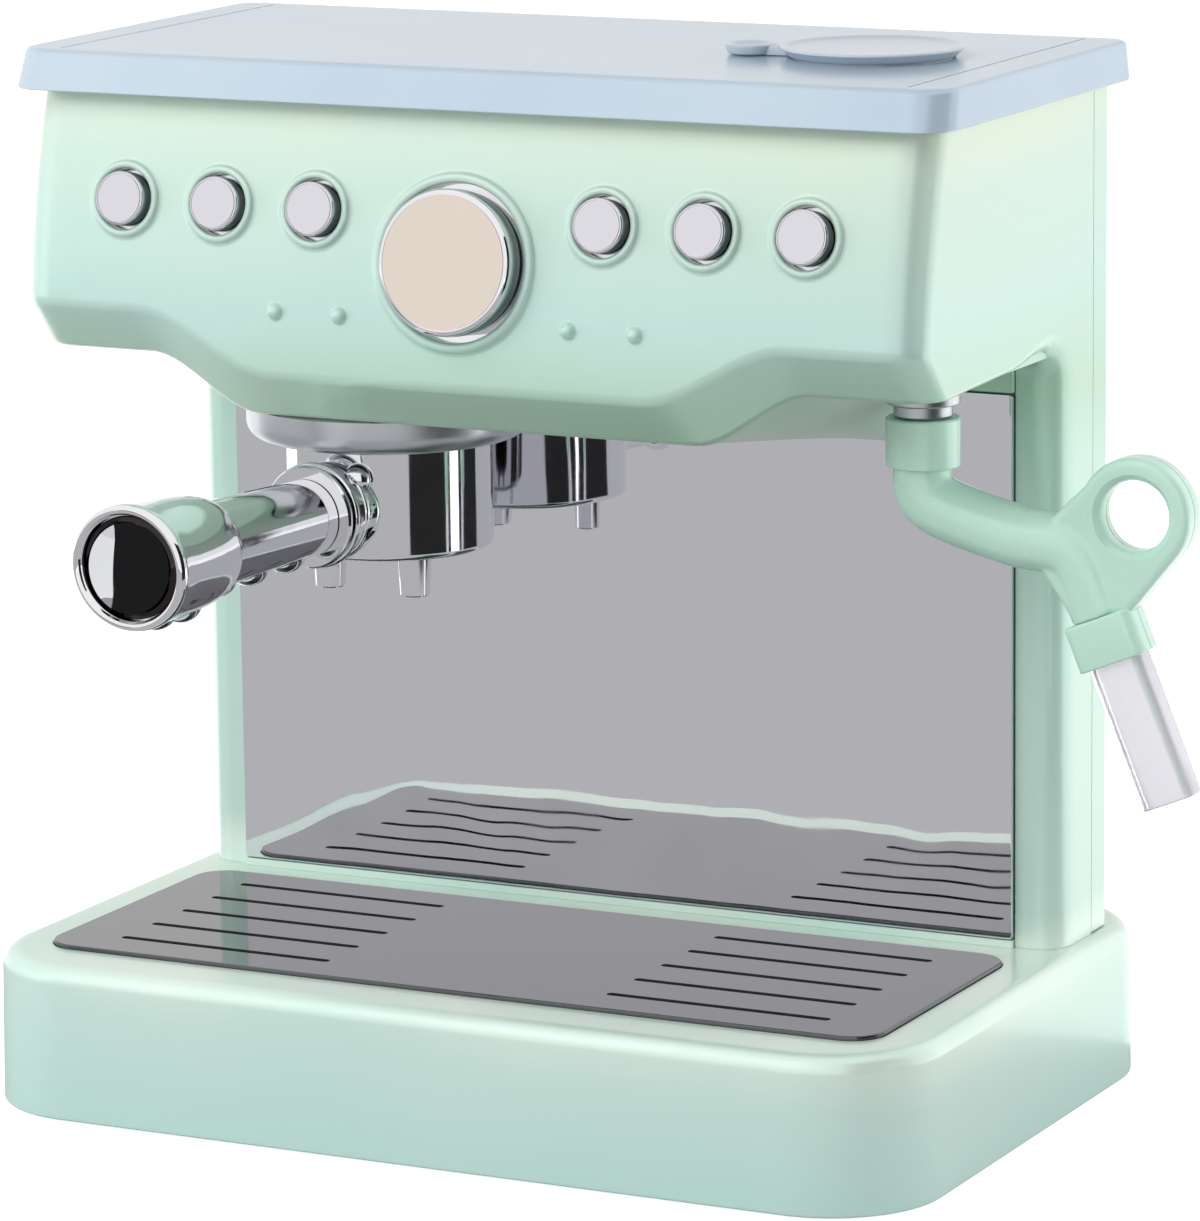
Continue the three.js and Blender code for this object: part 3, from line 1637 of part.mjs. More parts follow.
function buildWand(root) {
  const swivel = group(root, wandX, wandY, 0);
  piece(swivel, "wand_collar", "satinSilver", wandCollar());
  piece(swivel, "wand_clip", "blackPlastic", wandClip());
  const wand = group(root, 0, wandY, 0);
  piece(wand, "wand_front_half", "pearlMint", wandHalf(-1));
  piece(wand, "wand_back_half", "pearlMint", wandHalf(1));
  piece(wand, "wand_nozzle", "clearPlastic", wandNozzle());
}

const toyCoffeeMaker = new THREE.Group();
buildBase(toyCoffeeMaker);
buildTower(toyCoffeeMaker);
buildHead(toyCoffeeMaker);
buildPortafilter(toyCoffeeMaker);
buildWand(toyCoffeeMaker);

export default toyCoffeeMaker;
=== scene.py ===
import math

import bpy
from mathutils import Matrix, Vector


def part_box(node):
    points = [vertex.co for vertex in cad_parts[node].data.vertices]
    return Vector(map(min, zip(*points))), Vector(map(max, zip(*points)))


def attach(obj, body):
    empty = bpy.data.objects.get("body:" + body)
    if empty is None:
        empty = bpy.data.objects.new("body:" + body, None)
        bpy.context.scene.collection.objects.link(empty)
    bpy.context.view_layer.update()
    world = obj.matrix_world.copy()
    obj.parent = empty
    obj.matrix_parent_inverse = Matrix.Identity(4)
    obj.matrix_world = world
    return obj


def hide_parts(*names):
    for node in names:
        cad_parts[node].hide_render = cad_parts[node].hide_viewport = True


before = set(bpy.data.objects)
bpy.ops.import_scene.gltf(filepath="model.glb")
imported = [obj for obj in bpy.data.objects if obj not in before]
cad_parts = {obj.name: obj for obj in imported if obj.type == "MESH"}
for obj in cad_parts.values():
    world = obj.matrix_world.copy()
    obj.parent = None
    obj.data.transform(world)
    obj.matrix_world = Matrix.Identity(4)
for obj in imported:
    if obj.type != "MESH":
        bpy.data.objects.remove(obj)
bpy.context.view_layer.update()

MM = 0.001
bpy.context.scene.view_settings.view_transform = "Standard"


# Working with Blender's tools, all lengths in millimetres


def enter():
    bpy.ops.object.mode_set(mode="EDIT")


def leave():
    bpy.ops.object.mode_set(mode="OBJECT")


def clear_selection():
    if bpy.context.mode != "OBJECT":
        leave()
    bpy.ops.object.select_all(action="DESELECT")


def hold(piece):
    clear_selection()
    piece.select_set(True)
    bpy.context.view_layer.objects.active = piece


def open_whole(piece):
    """Opens the piece for editing with all of it selected."""
    hold(piece)
    enter()
    bpy.ops.mesh.select_all(action="SELECT")


def settle(piece):
    hold(piece)
    bpy.ops.object.transform_apply(location=True, rotation=True, scale=True)


def pick_none(piece, kind):
    """Goes over to picking points or edges, and lets go of all of them."""
    hold(piece)
    enter()
    bpy.ops.mesh.select_mode(type=kind)
    bpy.ops.mesh.select_all(action="DESELECT")
    leave()


def pick_points(piece, wanted):
    """Opens the piece for editing with the points selected that wanted(x, y, z) accepts."""
    pick_none(piece, "VERT")
    for point in piece.data.vertices:
        point.select = bool(wanted(*(point.co / MM)))
    enter()


def pick_edges(piece, wanted):
    """The same for edges, with wanted(a, b) on their two ends."""
    pick_none(piece, "EDGE")
    points = piece.data.vertices
    for edge in piece.data.edges:
        a, b = (points[i].co / MM for i in edge.vertices)
        edge.select = bool(wanted(a, b))
    enter()


def round_edges(piece, radius, segments, wanted):
    pick_edges(piece, wanted)
    bpy.ops.mesh.bevel(offset=radius * MM, segments=segments, affect="EDGES", profile=0.5)
    leave()


def is_upright(a, b):
    return abs(a.z - b.z) > 0.5 and (a - b).xy.length < 0.9 * abs(a.z - b.z)


def both_at(value, axis=2):
    """Accepts edges with both ends at this value of an axis."""
    return lambda a, b: abs(a[axis] - value) < 0.01 and abs(b[axis] - value) < 0.01


def modify(piece, kind, **settings):
    hold(piece)
    made = piece.modifiers.new(kind.title(), kind)
    for name, value in settings.items():
        setattr(made, name, value)
    bpy.ops.object.modifier_apply(modifier=made.name)


def cut(piece, *tools):
    for tool in tools:
        modify(piece, "BOOLEAN", operation="DIFFERENCE", solver="EXACT", object=tool)
        bpy.data.objects.remove(tool)


def joined(first, *others):
    hold(first)
    for other in others:
        other.select_set(True)
    bpy.ops.object.join()
    return first


def outward(piece):
    open_whole(piece)
    bpy.ops.mesh.normals_make_consistent(inside=False)
    leave()
    return piece


def flip(piece):
    open_whole(piece)
    bpy.ops.mesh.flip_normals()
    leave()


def placed(piece, at):
    piece.matrix_world = at @ piece.matrix_world
    settle(piece)
    return piece


def again(piece, at):
    """A copy with a mesh of its own, moved to another place."""
    made = piece.copy()
    made.data = piece.data.copy()
    bpy.context.collection.objects.link(made)
    return placed(made, at)


def shift(x, y, z):
    return Matrix.Translation(Vector((x, y, z)) * MM)


def turned_by(degrees, axis):
    return Matrix.Rotation(math.radians(degrees), 4, axis)


# Starting forms


def box_form(low, high):
    clear_selection()
    centre = [(a + b) / 2 * MM for a, b in zip(low, high)]
    bpy.ops.mesh.primitive_cube_add(size=1, location=centre)
    made = bpy.context.object
    made.scale = [(b - a) * MM for a, b in zip(low, high)]
    settle(made)
    return made


def slab_form(low, high, corner, segments, rim=0.0, foot=0.0, rim_segments=5):
    """A box with round upright corners, and rounded upper and lower rims."""
    made = box_form(low, high)
    round_edges(made, corner, segments, is_upright)
    if rim:
        round_edges(made, rim, rim_segments, both_at(high[2]))
    if foot:
        round_edges(made, foot, rim_segments, both_at(low[2]))
    return made


def turned_form(outline, sides, closed=False):
    """A round form about Z: a ring is drawn out and resized along [radius, height] pairs.
    A closed outline runs back to its first ring; an open one is capped at both ends."""
    rings = [point for point in outline if point[0] > 0]
    radius, height = rings[0]
    clear_selection()
    bpy.ops.mesh.primitive_circle_add(vertices=sides, radius=radius * MM, location=(0, 0, height * MM))
    made = bpy.context.object
    settle(made)
    enter()
    bpy.ops.mesh.select_mode(type="EDGE")
    bpy.ops.mesh.select_all(action="SELECT")
    for next_radius, next_height in rings[1:] + (rings[:1] if closed else []):
        rise = (next_height - height) * MM
        bpy.ops.mesh.extrude_edges_move(TRANSFORM_OT_translate={"value": (0, 0, rise)})
        k = next_radius / radius
        bpy.ops.transform.resize(value=(k, k, 1), center_override=(0, 0, next_height * MM))
        radius, height = next_radius, next_height
    if closed:
        bpy.ops.mesh.select_all(action="SELECT")
        bpy.ops.mesh.remove_doubles(threshold=0.001 * MM)
    else:
        close_end(outline[-1], height)
        pick_none(made, "VERT")
        for point in made.data.vertices[:sides]:
            point.select = True
        enter()
        close_end(outline[0], rings[0][1])
    leave()
    return outward(made)


def drum_form(radius, low, high, sides):
    """A plain cylinder about Z."""
    return turned_form([[0, low], [radius, low], [radius, high], [0, high]], sides)


def close_end(tip, height):
    """Caps the open ring, with a cone up to the tip or with a flat face."""
    if tip[0] == 0 and abs(tip[1] - height) > 0.001:
        rise = (tip[1] - height) * MM
        bpy.ops.mesh.extrude_edges_move(TRANSFORM_OT_translate={"value": (0, 0, rise)})
        bpy.ops.mesh.merge(type="CENTER")
    else:
        bpy.ops.mesh.edge_face_add()


def rounded(centre_r, centre_z, radius, start, end, count):
    """Points of an outline on a part of a circle, between two angles in degrees."""
    points = []
    for i in range(count + 1):
        a = math.radians(start + (end - start) * i / count)
        points.append([centre_r + radius * math.cos(a), centre_z + radius * math.sin(a)])
    return points


def sheet_form(across, along, place):
    """A grid whose points are moved to place(column, row), for skins that no single tool bends."""
    clear_selection()
    bpy.ops.mesh.primitive_grid_add(x_subdivisions=across, y_subdivisions=along, size=1)
    made = bpy.context.object
    for point in made.data.vertices:
        column = round((point.co.x + 0.5) * across)
        row = round((point.co.y + 0.5) * along)
        point.co = Vector(place(column, row)) * MM
    return made


# Finishes


def finish_of(name):
    """A new material; returns it with its node tree and its surface shader."""
    made = bpy.data.materials.new(name)
    made.use_nodes = True
    tree = made.node_tree
    return made, tree, tree.nodes["Principled BSDF"]


def add(tree, kind, **settings):
    made = tree.nodes.new(kind)
    for name, value in settings.items():
        setattr(made, name, value)
    return made


def preset(node, **values):
    """Sets inputs of a node; an underscore stands for the space in an input's name."""
    for name, value in values.items():
        node.inputs[name.replace("_", " ")].default_value = value


def noise_of(tree, scale, detail=2.0, roughness=0.5, stretch=(1, 1, 1)):
    """Noise on Object coordinates; scale counts its cells in a metre."""
    place = add(tree, "ShaderNodeTexCoord")
    mapping = add(tree, "ShaderNodeMapping")
    preset(mapping, Scale=stretch)
    made = add(tree, "ShaderNodeTexNoise")
    preset(made, Scale=scale, Detail=detail, Roughness=roughness)
    tree.links.new(place.outputs["Object"], mapping.inputs["Vector"])
    tree.links.new(mapping.outputs["Vector"], made.inputs["Vector"])
    return made.outputs["Fac"]


def ramp_of(tree, source, stops):
    made = add(tree, "ShaderNodeValToRGB")
    bar = made.color_ramp
    bar.elements[0].position, bar.elements[0].color = stops[0][0], (*stops[0][1], 1)
    bar.elements[1].position, bar.elements[1].color = stops[-1][0], (*stops[-1][1], 1)
    for where, colour in stops[1:-1]:
        bar.elements.new(where).color = (*colour, 1)
    tree.links.new(source, made.inputs["Fac"])
    return made.outputs["Color"]


def roughen(tree, skin, source, start, end):
    """Roughness follows the source from one (level, value) to the other."""
    stops = [(level, grey(value)) for level, value in (start, end)]
    tree.links.new(ramp_of(tree, source, stops), skin.inputs["Roughness"])


def bump(tree, skin, source, strength, depth):
    made = add(tree, "ShaderNodeBump")
    preset(made, Strength=strength, Distance=depth * MM)
    tree.links.new(source, made.inputs["Height"])
    tree.links.new(made.outputs["Normal"], skin.inputs["Normal"])


def grey(value):
    return (value, value, value)


def colour(code):
    """Linear colour of a written hex code."""
    parts = [int(code[i : i + 2], 16) / 255 for i in (0, 2, 4)]
    return tuple(p / 12.92 if p <= 0.04045 else ((p + 0.055) / 1.055) ** 2.4 for p in parts)


levels_in_a_metre = 4.0


def pearl_finish(name, levels, rough_low, rough_high, coat, metal):
    """Moulded plastic with pearl flakes: its tint follows listed levels by height, and drifts a little at
    random; the housing's levels paint light and shade.
    """
    made, tree, skin = finish_of(name)
    place = add(tree, "ShaderNodeTexCoord")
    parts = add(tree, "ShaderNodeSeparateXYZ")
    tree.links.new(place.outputs["Object"], parts.inputs[0])
    drift = noise_of(tree, 10, detail=1.5)
    spread = add(tree, "ShaderNodeMapRange")
    preset(spread, From_Min=0.3, From_Max=0.7, To_Min=-0.03, To_Max=0.03)
    tree.links.new(drift, spread.inputs["Value"])
    level = add(tree, "ShaderNodeMath", operation="MULTIPLY_ADD")
    level.inputs[1].default_value = levels_in_a_metre
    tree.links.new(parts.outputs["Z"], level.inputs[0])
    tree.links.new(spread.outputs[0], level.inputs[2])
    stops = [(where, colour(code)) for where, code in levels.items()]
    tree.links.new(ramp_of(tree, level.outputs[0], stops), skin.inputs["Base Color"])
    preset(skin, Metallic=metal, Coat_Weight=coat, Coat_Roughness=0.1)
    preset(skin, Specular_Tint=(1.0, 0.93, 0.74, 1))
    flakes = noise_of(tree, 2600, detail=2.5)
    roughen(tree, skin, flakes, (0.3, rough_low), (0.7, rough_high))
    texture = noise_of(tree, 700, detail=3)
    bump(tree, skin, texture, 0.05, 0.05)
    return made


def plated_finish(name, tint, low=0.05, high=0.09, wave=0.02):
    """Vacuum plated plastic: bright, a little uneven, with faint wiping haze."""
    made, tree, skin = finish_of(name)
    preset(skin, Base_Color=(*tint, 1), Metallic=1.0)
    haze = noise_of(tree, 120, detail=3, roughness=0.6)
    roughen(tree, skin, haze, (0.35, low), (0.7, high))
    ripple = noise_of(tree, 55, detail=1)
    bump(tree, skin, ripple, wave, 0.6)
    return made


def mirror_finish():
    """Mirror film on plastic: flat, with slow ripples that waver what it shows."""
    made, tree, skin = finish_of("mirror_film")
    preset(skin, Base_Color=(*colour("EDEDF2"), 1), Metallic=1.0)
    haze = noise_of(tree, 40, detail=4, roughness=0.65)
    roughen(tree, skin, haze, (0.4, 0.015), (0.75, 0.05))
    ripple = noise_of(tree, 42, detail=1.2, stretch=(1, 1, 0.55))
    bump(tree, skin, ripple, 0.22, 1.6)
    return made


def clear_finish():
    """Clear plastic, a little cloudy."""
    made, tree, skin = finish_of("clear_bar")
    preset(skin, Base_Color=(*colour("E2E1E6"), 1), IOR=1.49, Transmission_Weight=0.6)
    haze = noise_of(tree, 90, detail=3)
    roughen(tree, skin, haze, (0.3, 0.06), (0.7, 0.16))
    return made


def plain_finish(name, dark, light, low, high, scale=400, grain=0.2, metal=0.0):
    """Moulded plastic, rubber or plain metal with a fine mottle."""
    made, tree, skin = finish_of(name)
    mottle = noise_of(tree, scale, detail=4, roughness=0.6)
    tree.links.new(ramp_of(tree, mottle, [(0.3, dark), (0.7, light)]), skin.inputs["Base Color"])
    roughen(tree, skin, mottle, (0.3, low), (0.7, high))
    preset(skin, Metallic=metal)
    bump(tree, skin, mottle, grain, 0.08)
    return made


def lid_finish(name, low, high, metal):
    """Silver blue pearl under a thin clear gloss."""
    made, tree, skin = finish_of(name)
    drift = noise_of(tree, 12, detail=2)
    tint = ramp_of(tree, drift, [(0.35, colour(low)), (0.65, colour(high))])
    tree.links.new(tint, skin.inputs["Base Color"])
    preset(skin, Metallic=metal, Specular_IOR_Level=0.3, Coat_Weight=0.12, Coat_Roughness=0.06)
    flakes = noise_of(tree, 2200, detail=2.5)
    roughen(tree, skin, flakes, (0.3, 0.2), (0.7, 0.25))
    return made


# The housing's mint by height: lighter at the base's top face and the pillar feet as painted light, darker
# at the chamfer and belly as painted shade, paler and warmer at the head's top as a painted sheen.
mint_tint_and_painted_light = {
    0.0: "C2E5DE",
    0.12: "CEEAE2",
    0.165: "E0F1E7",
    0.19: "C6E3D9",
    0.62: "BFE0D4",
    0.7: "B6D8C2",
    0.8: "C0E0D8",
    0.93: "C8E0D5",
    0.99: "D2E2CF",
}
mint = pearl_finish("pearl_mint", mint_tint_and_painted_light, 0.28, 0.36, 0.4, 0.25)
mint_wand = pearl_finish("wand_mint", {0.0: "BDE4D4", 1.0: "C6E9DA"}, 0.2, 0.28, 0.5, 0.05)
pearl_blue = lid_finish("pearl_blue", "B6C7D6", "BECEDA", 0.2)
pale_blue = lid_finish("pale_blue", "BCC8D4", "C6D0DA", 0.2)
chrome = plated_finish("bright_chrome", colour("ECECEF"))
button_chrome = plated_finish("button_chrome", colour("DDDBE1"))
warm_chrome = plated_finish("warm_chrome", colour("E2D7CA"), low=0.12, high=0.2)
dark_chrome = plated_finish("dark_chrome", colour("68686B"))
disc_chrome = plated_finish("disc_chrome", colour("CCCED2"), low=0.0, high=0.02, wave=0.0)
satin = plated_finish("satin_silver", colour("C8CCD0"), low=0.3, high=0.4)
mirror_film = mirror_finish()
clear_bar = clear_finish()
black_mirror = plated_finish("black_mirror", colour("3A3432"), low=0.03, high=0.06)
black_plastic = plain_finish("black_plastic", grey(0.018), grey(0.03), 0.45, 0.6)
rubber = plain_finish("foot_rubber", grey(0.035), grey(0.06), 0.75, 0.95, grain=0.4)
board_green = plain_finish("board_green", (0.02, 0.11, 0.05), (0.03, 0.16, 0.07), 0.35, 0.5)
zinc = plain_finish("zinc_steel", grey(0.45), grey(0.6), 0.25, 0.4, scale=900, grain=0.1, metal=1.0)


# Giving a piece its name, finish and body


def dress(piece, name, finish, node, body="root", degrees=32, flat=False):
    """Flat pieces with rounded rims get weighted normals, so that their faces stay even."""
    piece.name = name
    piece.data.name = name
    piece.data.materials.clear()
    piece.data.materials.append(finish)
    hold(piece)
    bpy.ops.object.shade_smooth_by_angle(angle=math.radians(degrees))
    if flat:
        modify(piece, "WEIGHTED_NORMAL", keep_sharp=True)
    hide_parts(node)
    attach(piece, body)


def paint(piece, finish, faces):
    """A second finish on the faces with these numbers."""
    piece.data.materials.append(finish)
    for index in faces:
        piece.data.polygons[index].material_index = 1


def repaint(node, finish):
    """A CAD node that keeps its shape gets a finish."""
    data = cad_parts[node].data
    data.materials.clear()
    data.materials.append(finish)


def corners(node):
    """The box of a CAD node in millimetres."""
    low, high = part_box(node)
    return low / MM, high / MM


# Sizes that several pieces share, in millimetres

base_high = corners("base_housing")[1]
drip_low, drip_high = corners("drip_plate")
mirror_low, mirror_high = corners("mirror_panel")
house_high = corners("main_housing")[1]
lid_low, lid_high = corners("lid_tray")
cap_low, cap_high = corners("filler_cap")
collar_low, collar_high = corners("wand_collar")
deck = base_high.z
house_half = house_high.x
head_top = house_high.z
seam = house_high.y
gap = 0.3

pillar_width = 11.7
pillar_front = 29.0
pillar_corner = 7.5
pillar_x = house_half - pillar_width
tower_seat = deck + 0.05
wall = 1.6

small_row = 222.6
small_columns = [-90.2, -64.2, -38.1, 38.1, 64.2, 90.2]
brew_row = 212.2
dot_row = 198.2
dot_columns = [-47.7, -30.4, 30.4, 47.7]

# Fascia: an arc that leans back, in the Y-Z plane
fascia_high = Vector((-45.5, 248.0))
fascia_low = Vector((-56.0, 196.0))
fascia_bow = 1.62
fascia_chord = (fascia_high - fascia_low).length
fascia_radius = fascia_chord**2 / (8 * fascia_bow) + fascia_bow / 2
fascia_inward = Vector((fascia_high.y - fascia_low.y, fascia_low.x - fascia_high.x)) / fascia_chord
fascia_centre = (fascia_high + fascia_low) / 2 + fascia_inward * (fascia_radius - fascia_bow)


def fascia_y(z):
    return fascia_centre.x - math.sqrt(fascia_radius**2 - (z - fascia_centre.y) ** 2)


def fascia_lean(z):
    return math.asin((z - fascia_centre.y) / fascia_radius)


def on_fascia(x, z):
    """A place on the fascia whose Z points out of it."""
    lean = math.degrees(fascia_lean(z))
    return shift(x, fascia_y(z), z) @ turned_by(90 - lean, "X")


def ease(t):
    t = min(1.0, max(0.0, t))
    return t * t * (3 - 2 * t)


def wave(x, inner, outer, middle, side):
    """A height that changes from the middle's to the side's between two distances."""
    return middle + (side - middle) * ease((abs(x) - inner) / (outer - inner))


def fascia_edge(x):
    return wave(x, 49, 86, 182.4, 196.5)


def chamfer_edge(x):
    return wave(x, 58, 88, 171, 184.4)


def belly_edge(x):
    return wave(x, 77, 106, 161.5, 184.4)


# Base


def base_piece():
    made = box_form((-base_high.x, -base_high.y, 0), (base_high.x, base_high.y, deck))
    draft = 0.5
    pick_points(made, lambda x, y, z: z > 1)
    k = (1 - draft / base_high.x, 1 - draft / base_high.y, 1)
    bpy.ops.transform.resize(value=k, center_override=(0, 0, deck * MM))
    leave()
    round_edges(made, 28, 28, is_upright)
    round_edges(made, 4.5, 8, both_at(deck))
    round_edges(made, 0.8, 3, both_at(0))
    hollow = slab_form((-122, -81, -1), (122, 81, deck - 2.5), 25, 20)
    mid = (drip_high.y + drip_low.y) / 2
    seat_x, seat_y = drip_high.x + gap, (drip_high.y - drip_low.y) / 2 + gap
    seat_z = drip_low.z - gap
    seat = slab_form((-seat_x, mid - seat_y, seat_z), (seat_x, mid + seat_y, deck + 2), 8.9, 12)
    ledge = 6.3
    well_x, well_y = seat_x - ledge, seat_y - ledge
    well = slab_form((-well_x, mid - well_y, deck - 5), (well_x, mid + well_y, deck + 2), 5, 10)
    cut(made, hollow, seat, well)
    dress(made, "base_shell", mint, "base_housing", flat=True)


def tray_piece():
    low, high = corners("drip_tray")
    made = slab_form(low, high, 8, 10, foot=1.5, rim_segments=4)
    edge = 2.5
    inside_low = (low.x + edge, low.y + edge, low.z + edge)
    inside_high = (high.x - edge, high.y - edge, high.z + 3)
    cut(made, slab_form(inside_low, inside_high, 5.6, 10, foot=1.2))
    dress(made, "drip_dish", mint, "drip_tray")


def drip_piece():
    low, high = drip_low, drip_high
    made = slab_form(low, high, 8.6, 14, rim=0.45, rim_segments=3)
    mid = (low.y + high.y) / 2
    slot_x, pitch, half_long, half_wide = 66.74, 14.76, 29.1, 1.2
    for side in (-1, 1):
        for row in range(5):
            x, y = side * slot_x, mid + (row - 2) * pitch
            slot_low = (x - half_long, y - half_wide, low.z - 1)
            slot_high = (x + half_long, y + half_wide, high.z + 1)
            cut(made, slab_form(slot_low, slot_high, 1.15, 6))
    dress(made, "drip_grid", dark_chrome, "drip_plate", "drip_plate", flat=True)
    # The walls inside the slots get the black finish as painted shade in the slots.
    slot_shade_faces = []
    for face in made.data.polygons:
        x, y = face.center.xy / MM
        if abs(face.normal.z) < 0.3 and abs(x) < 98 and abs(y - mid) < 36:
            slot_shade_faces.append(face.index)
    paint(made, black_plastic, slot_shade_faces)


def carried(node, name, finish, width=0.35):
    """A copy of a CAD node with its edges softened."""
    clear_selection()
    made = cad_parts[node].copy()
    made.data = made.data.copy()
    made.parent = None
    bpy.context.collection.objects.link(made)
    open_whole(made)
    bpy.ops.mesh.remove_doubles(threshold=0.002 * MM)
    bpy.ops.mesh.dissolve_limited(angle_limit=math.radians(0.5))
    leave()
    modify(made, "BEVEL", width=width * MM, segments=2, limit_method="ANGLE", angle_limit=0.6)
    dress(made, name, finish, node, flat=True)


def foot_pieces():
    low, high = corners("foot_1")
    r = (high.x - low.x) / 2
    outline = [[0, high.z], [r, high.z]] + rounded(r - 0.4, low.z + 0.4, 0.4, 0, -90, 4)
    outline += [[r * 0.6, low.z], [r * 0.55, low.z + 0.4], [0, low.z + 0.4]]
    first = turned_form(outline, 48)
    for i in range(1, 5):
        low, high = corners("foot_%d" % i)
        made = again(first, shift((low.x + high.x) / 2, (low.y + high.y) / 2, 0))
        dress(made, "pad_%d" % i, rubber, "foot_%d" % i)
    bpy.data.objects.remove(first)


# Screws: a pan head below its seat with a cross recess, and a plain shank above


def screw_form():
    outline = [[0, 13], [1.0, 13], [1.4, 12.4], [1.4, 0], [3.2, 0], [3.2, -0.9]]
    outline += rounded(2.1, -0.9, 1.1, 0, -90, 4) + [[0, -2]]
    made = turned_form(outline, 32)
    for angle in (0, 90):
        arm = box_form((-1.7, -0.38, -3.0), (1.7, 0.38, -0.9))
        cut(made, placed(arm, turned_by(angle, "Z")))
    return made


def screw_pieces():
    first = screw_form()
    names = [kind + "_screw_%d" % i for kind in ("base", "cover") for i in range(1, 5)]
    names += ["tower_screw_left", "tower_screw_right", "battery_door_screw"]
    for name in names:
        low, high = corners(name)
        mid = (low + high) / 2
        if name.startswith("cover"):
            at = shift(mid.x, high.y - 2, mid.z) @ turned_by(90, "X")
        else:
            at = shift(mid.x, mid.y, low.z + 2)
        dress(again(first, at), name.replace("screw", "fixing"), zinc, name)
    bpy.data.objects.remove(first)


# Tower and head


def side_stations():
    """The lower edge of a side wall, from the foot of its pillar to the front corner. Each
    station has its place, its way out, the radius of its edge, the depth of the lip behind
    that edge, and the place at the far side of the wall."""
    bend, side_edge = 7.0, 186.0
    centre_y, centre_z = pillar_front - bend, side_edge - bend
    made = []
    for z in (tower_seat, 60, 90, 120, 150, 170):
        made.append((pillar_front, z, -1, 0, pillar_corner, pillar_width, seam, z))
    for i in range(9):
        a = math.radians(90 - 11.25 * i)
        y, z = centre_y + bend * math.sin(a), centre_z + bend * math.cos(a)
        part = math.degrees(a) / 90
        depth = 6.2 + (pillar_width - 6.2) * ease((part - 0.1) / 0.5)
        far = (seam, 179 + (head_top - 179) * i / 6) if i < 7 else (seam - 13.5 * (i - 6), head_top)
        made.append((y, z, -math.sin(a), -math.cos(a), 5.4 + 2.1 * part, depth, *far))
    for y in (18, 14, 10, 6, 0, -15, -28):
        z = 184.4 + 1.6 * (y + 37) / 59
        radius = 1.6 + 3.8 * ease((y + 2) / 24)
        made.append((y, z, 0, -1, radius, radius + 1.6, y, head_top))
    return made


def head_skin():
    corner, soft, lip = 9.0, 1.8, 3.4
    flat = house_half - corner
    stations = side_stations()
    columns = [("side", 1, s) for s in stations]
    columns += [("turn", 1, 90 - 10 * i) for i in range(10)]
    columns += [("front", 0, flat - 2 * flat * i / 84) for i in range(1, 84)]
    columns += [("turn", -1, 10 * i) for i in range(10)]
    columns += [("side", -1, s) for s in reversed(stations)]
    rows = [("face", t / 14) for t in range(14)]
    rows += [("upper", t / 6) for t in range(7)]
    rows += [("lower", t / 6) for t in range(7)]
    rows += [("lip", 1)]

    def blend(before, at, after, t):
        return before * (1 - t) ** 2 + at * 2 * t * (1 - t) + after * t**2

    def front(row, x):
        kind, t = row
        z = fascia_edge(x)
        edge = Vector((fascia_y(z), z))
        foot = Vector((-46.0, chamfer_edge(x)))
        up = (Vector((fascia_y(z + 2), z + 2)) - edge).normalized()
        slope = (foot - edge).normalized()
        start = edge + up * soft
        if kind == "face":
            z = head_top + (start.y - head_top) * t
            return Vector((fascia_y(z), z))
        if kind == "upper":
            return blend(start, edge, edge + slope * soft, t)
        inward = Vector((1, 0))
        if kind == "lower":
            return blend(foot - slope * soft, foot, foot + inward * soft, t)
        return foot + inward * lip

    lowest = front(("lower", 0), flat).y

    def place(i, j):
        kind, side, value = columns[i]
        row = rows[len(rows) - 1 - j]
        if kind == "front":
            p = front(row, value)
            return (value, p.x, p.y)
        p = front(row, flat)
        if kind == "turn":
            inset = lip if row[0] == "lip" else soft * row[1] ** 2 if row[0] == "lower" else 0.0
            a = math.radians(value)
            r = corner - inset
            y = p.x - inset + corner - r * math.cos(a)
            return (side * (flat + r * math.sin(a)), y, p.y)
        y, z, out_y, out_z, radius, depth, far_y, far_z = value
        turn = math.radians(90 * row[1]) if row[0] in ("lower", "lip") else 0.0
        back = radius * (1 - math.sin(turn))
        y, z = y - out_y * back, z - out_z * back
        if row[0] == "lip":
            return (side * (house_half - depth), y, z)
        if row[0] == "lower":
            return (side * (house_half - radius * (1 - math.cos(turn))), y, z)
        t = (head_top - p.y) / (head_top - lowest)
        return (side * house_half, far_y + (y - far_y) * t, far_z + (z - far_z) * t)

    made = sheet_form(len(columns) - 1, len(rows) - 1, place)
    middle = min(made.data.polygons, key=lambda f: (f.center / MM - Vector((0, -50, 225))).length)
    if middle.normal.y > 0:
        flip(made)
    modify(made, "SOLIDIFY", thickness=wall * MM, offset=-1, use_even_offset=False)
    return made


def bowed(piece, x, z):
    """Lays a flat round form on the bow of the fascia about a point."""
    lean = fascia_lean(z)
    for point in piece.data.vertices:
        p = point.co / MM
        a = lean + p.y / fascia_radius
        reach = fascia_radius + p.z
        y = fascia_centre.x - reach * math.cos(a)
        point.co = Vector((x + p.x, y, fascia_centre.y + reach * math.sin(a))) * MM
    return piece


def ring_form(radius, hole, proud):
    root = 0.4
    outline = [[radius + 1.2, -0.6], [radius + 1.2, -0.03], [radius + 0.55, 0.05], [radius + 0.2, 0.18]]
    middle, half = (radius + hole) / 2, (radius - hole) / 2
    for i in range(17):
        a = math.radians(180 * i / 16)
        outline.append([middle + half * math.cos(a), root + (proud - root) * math.sin(a) ** 0.8])
    outline += [[hole, -2.0], [hole + 0.8, -2.0], [hole + 0.8, -0.6]]
    return turned_form(outline, 120, closed=True)


def dot_form():
    outline = [[0, -0.8], [2.5, -0.8], [2.5, -0.03], [2.1, 0.06], [1.95, 0.25]]
    outline += rounded(0, -0.1, 1.95, 14, 84, 9) + [[0, 1.85]]
    return turned_form(outline, 48)


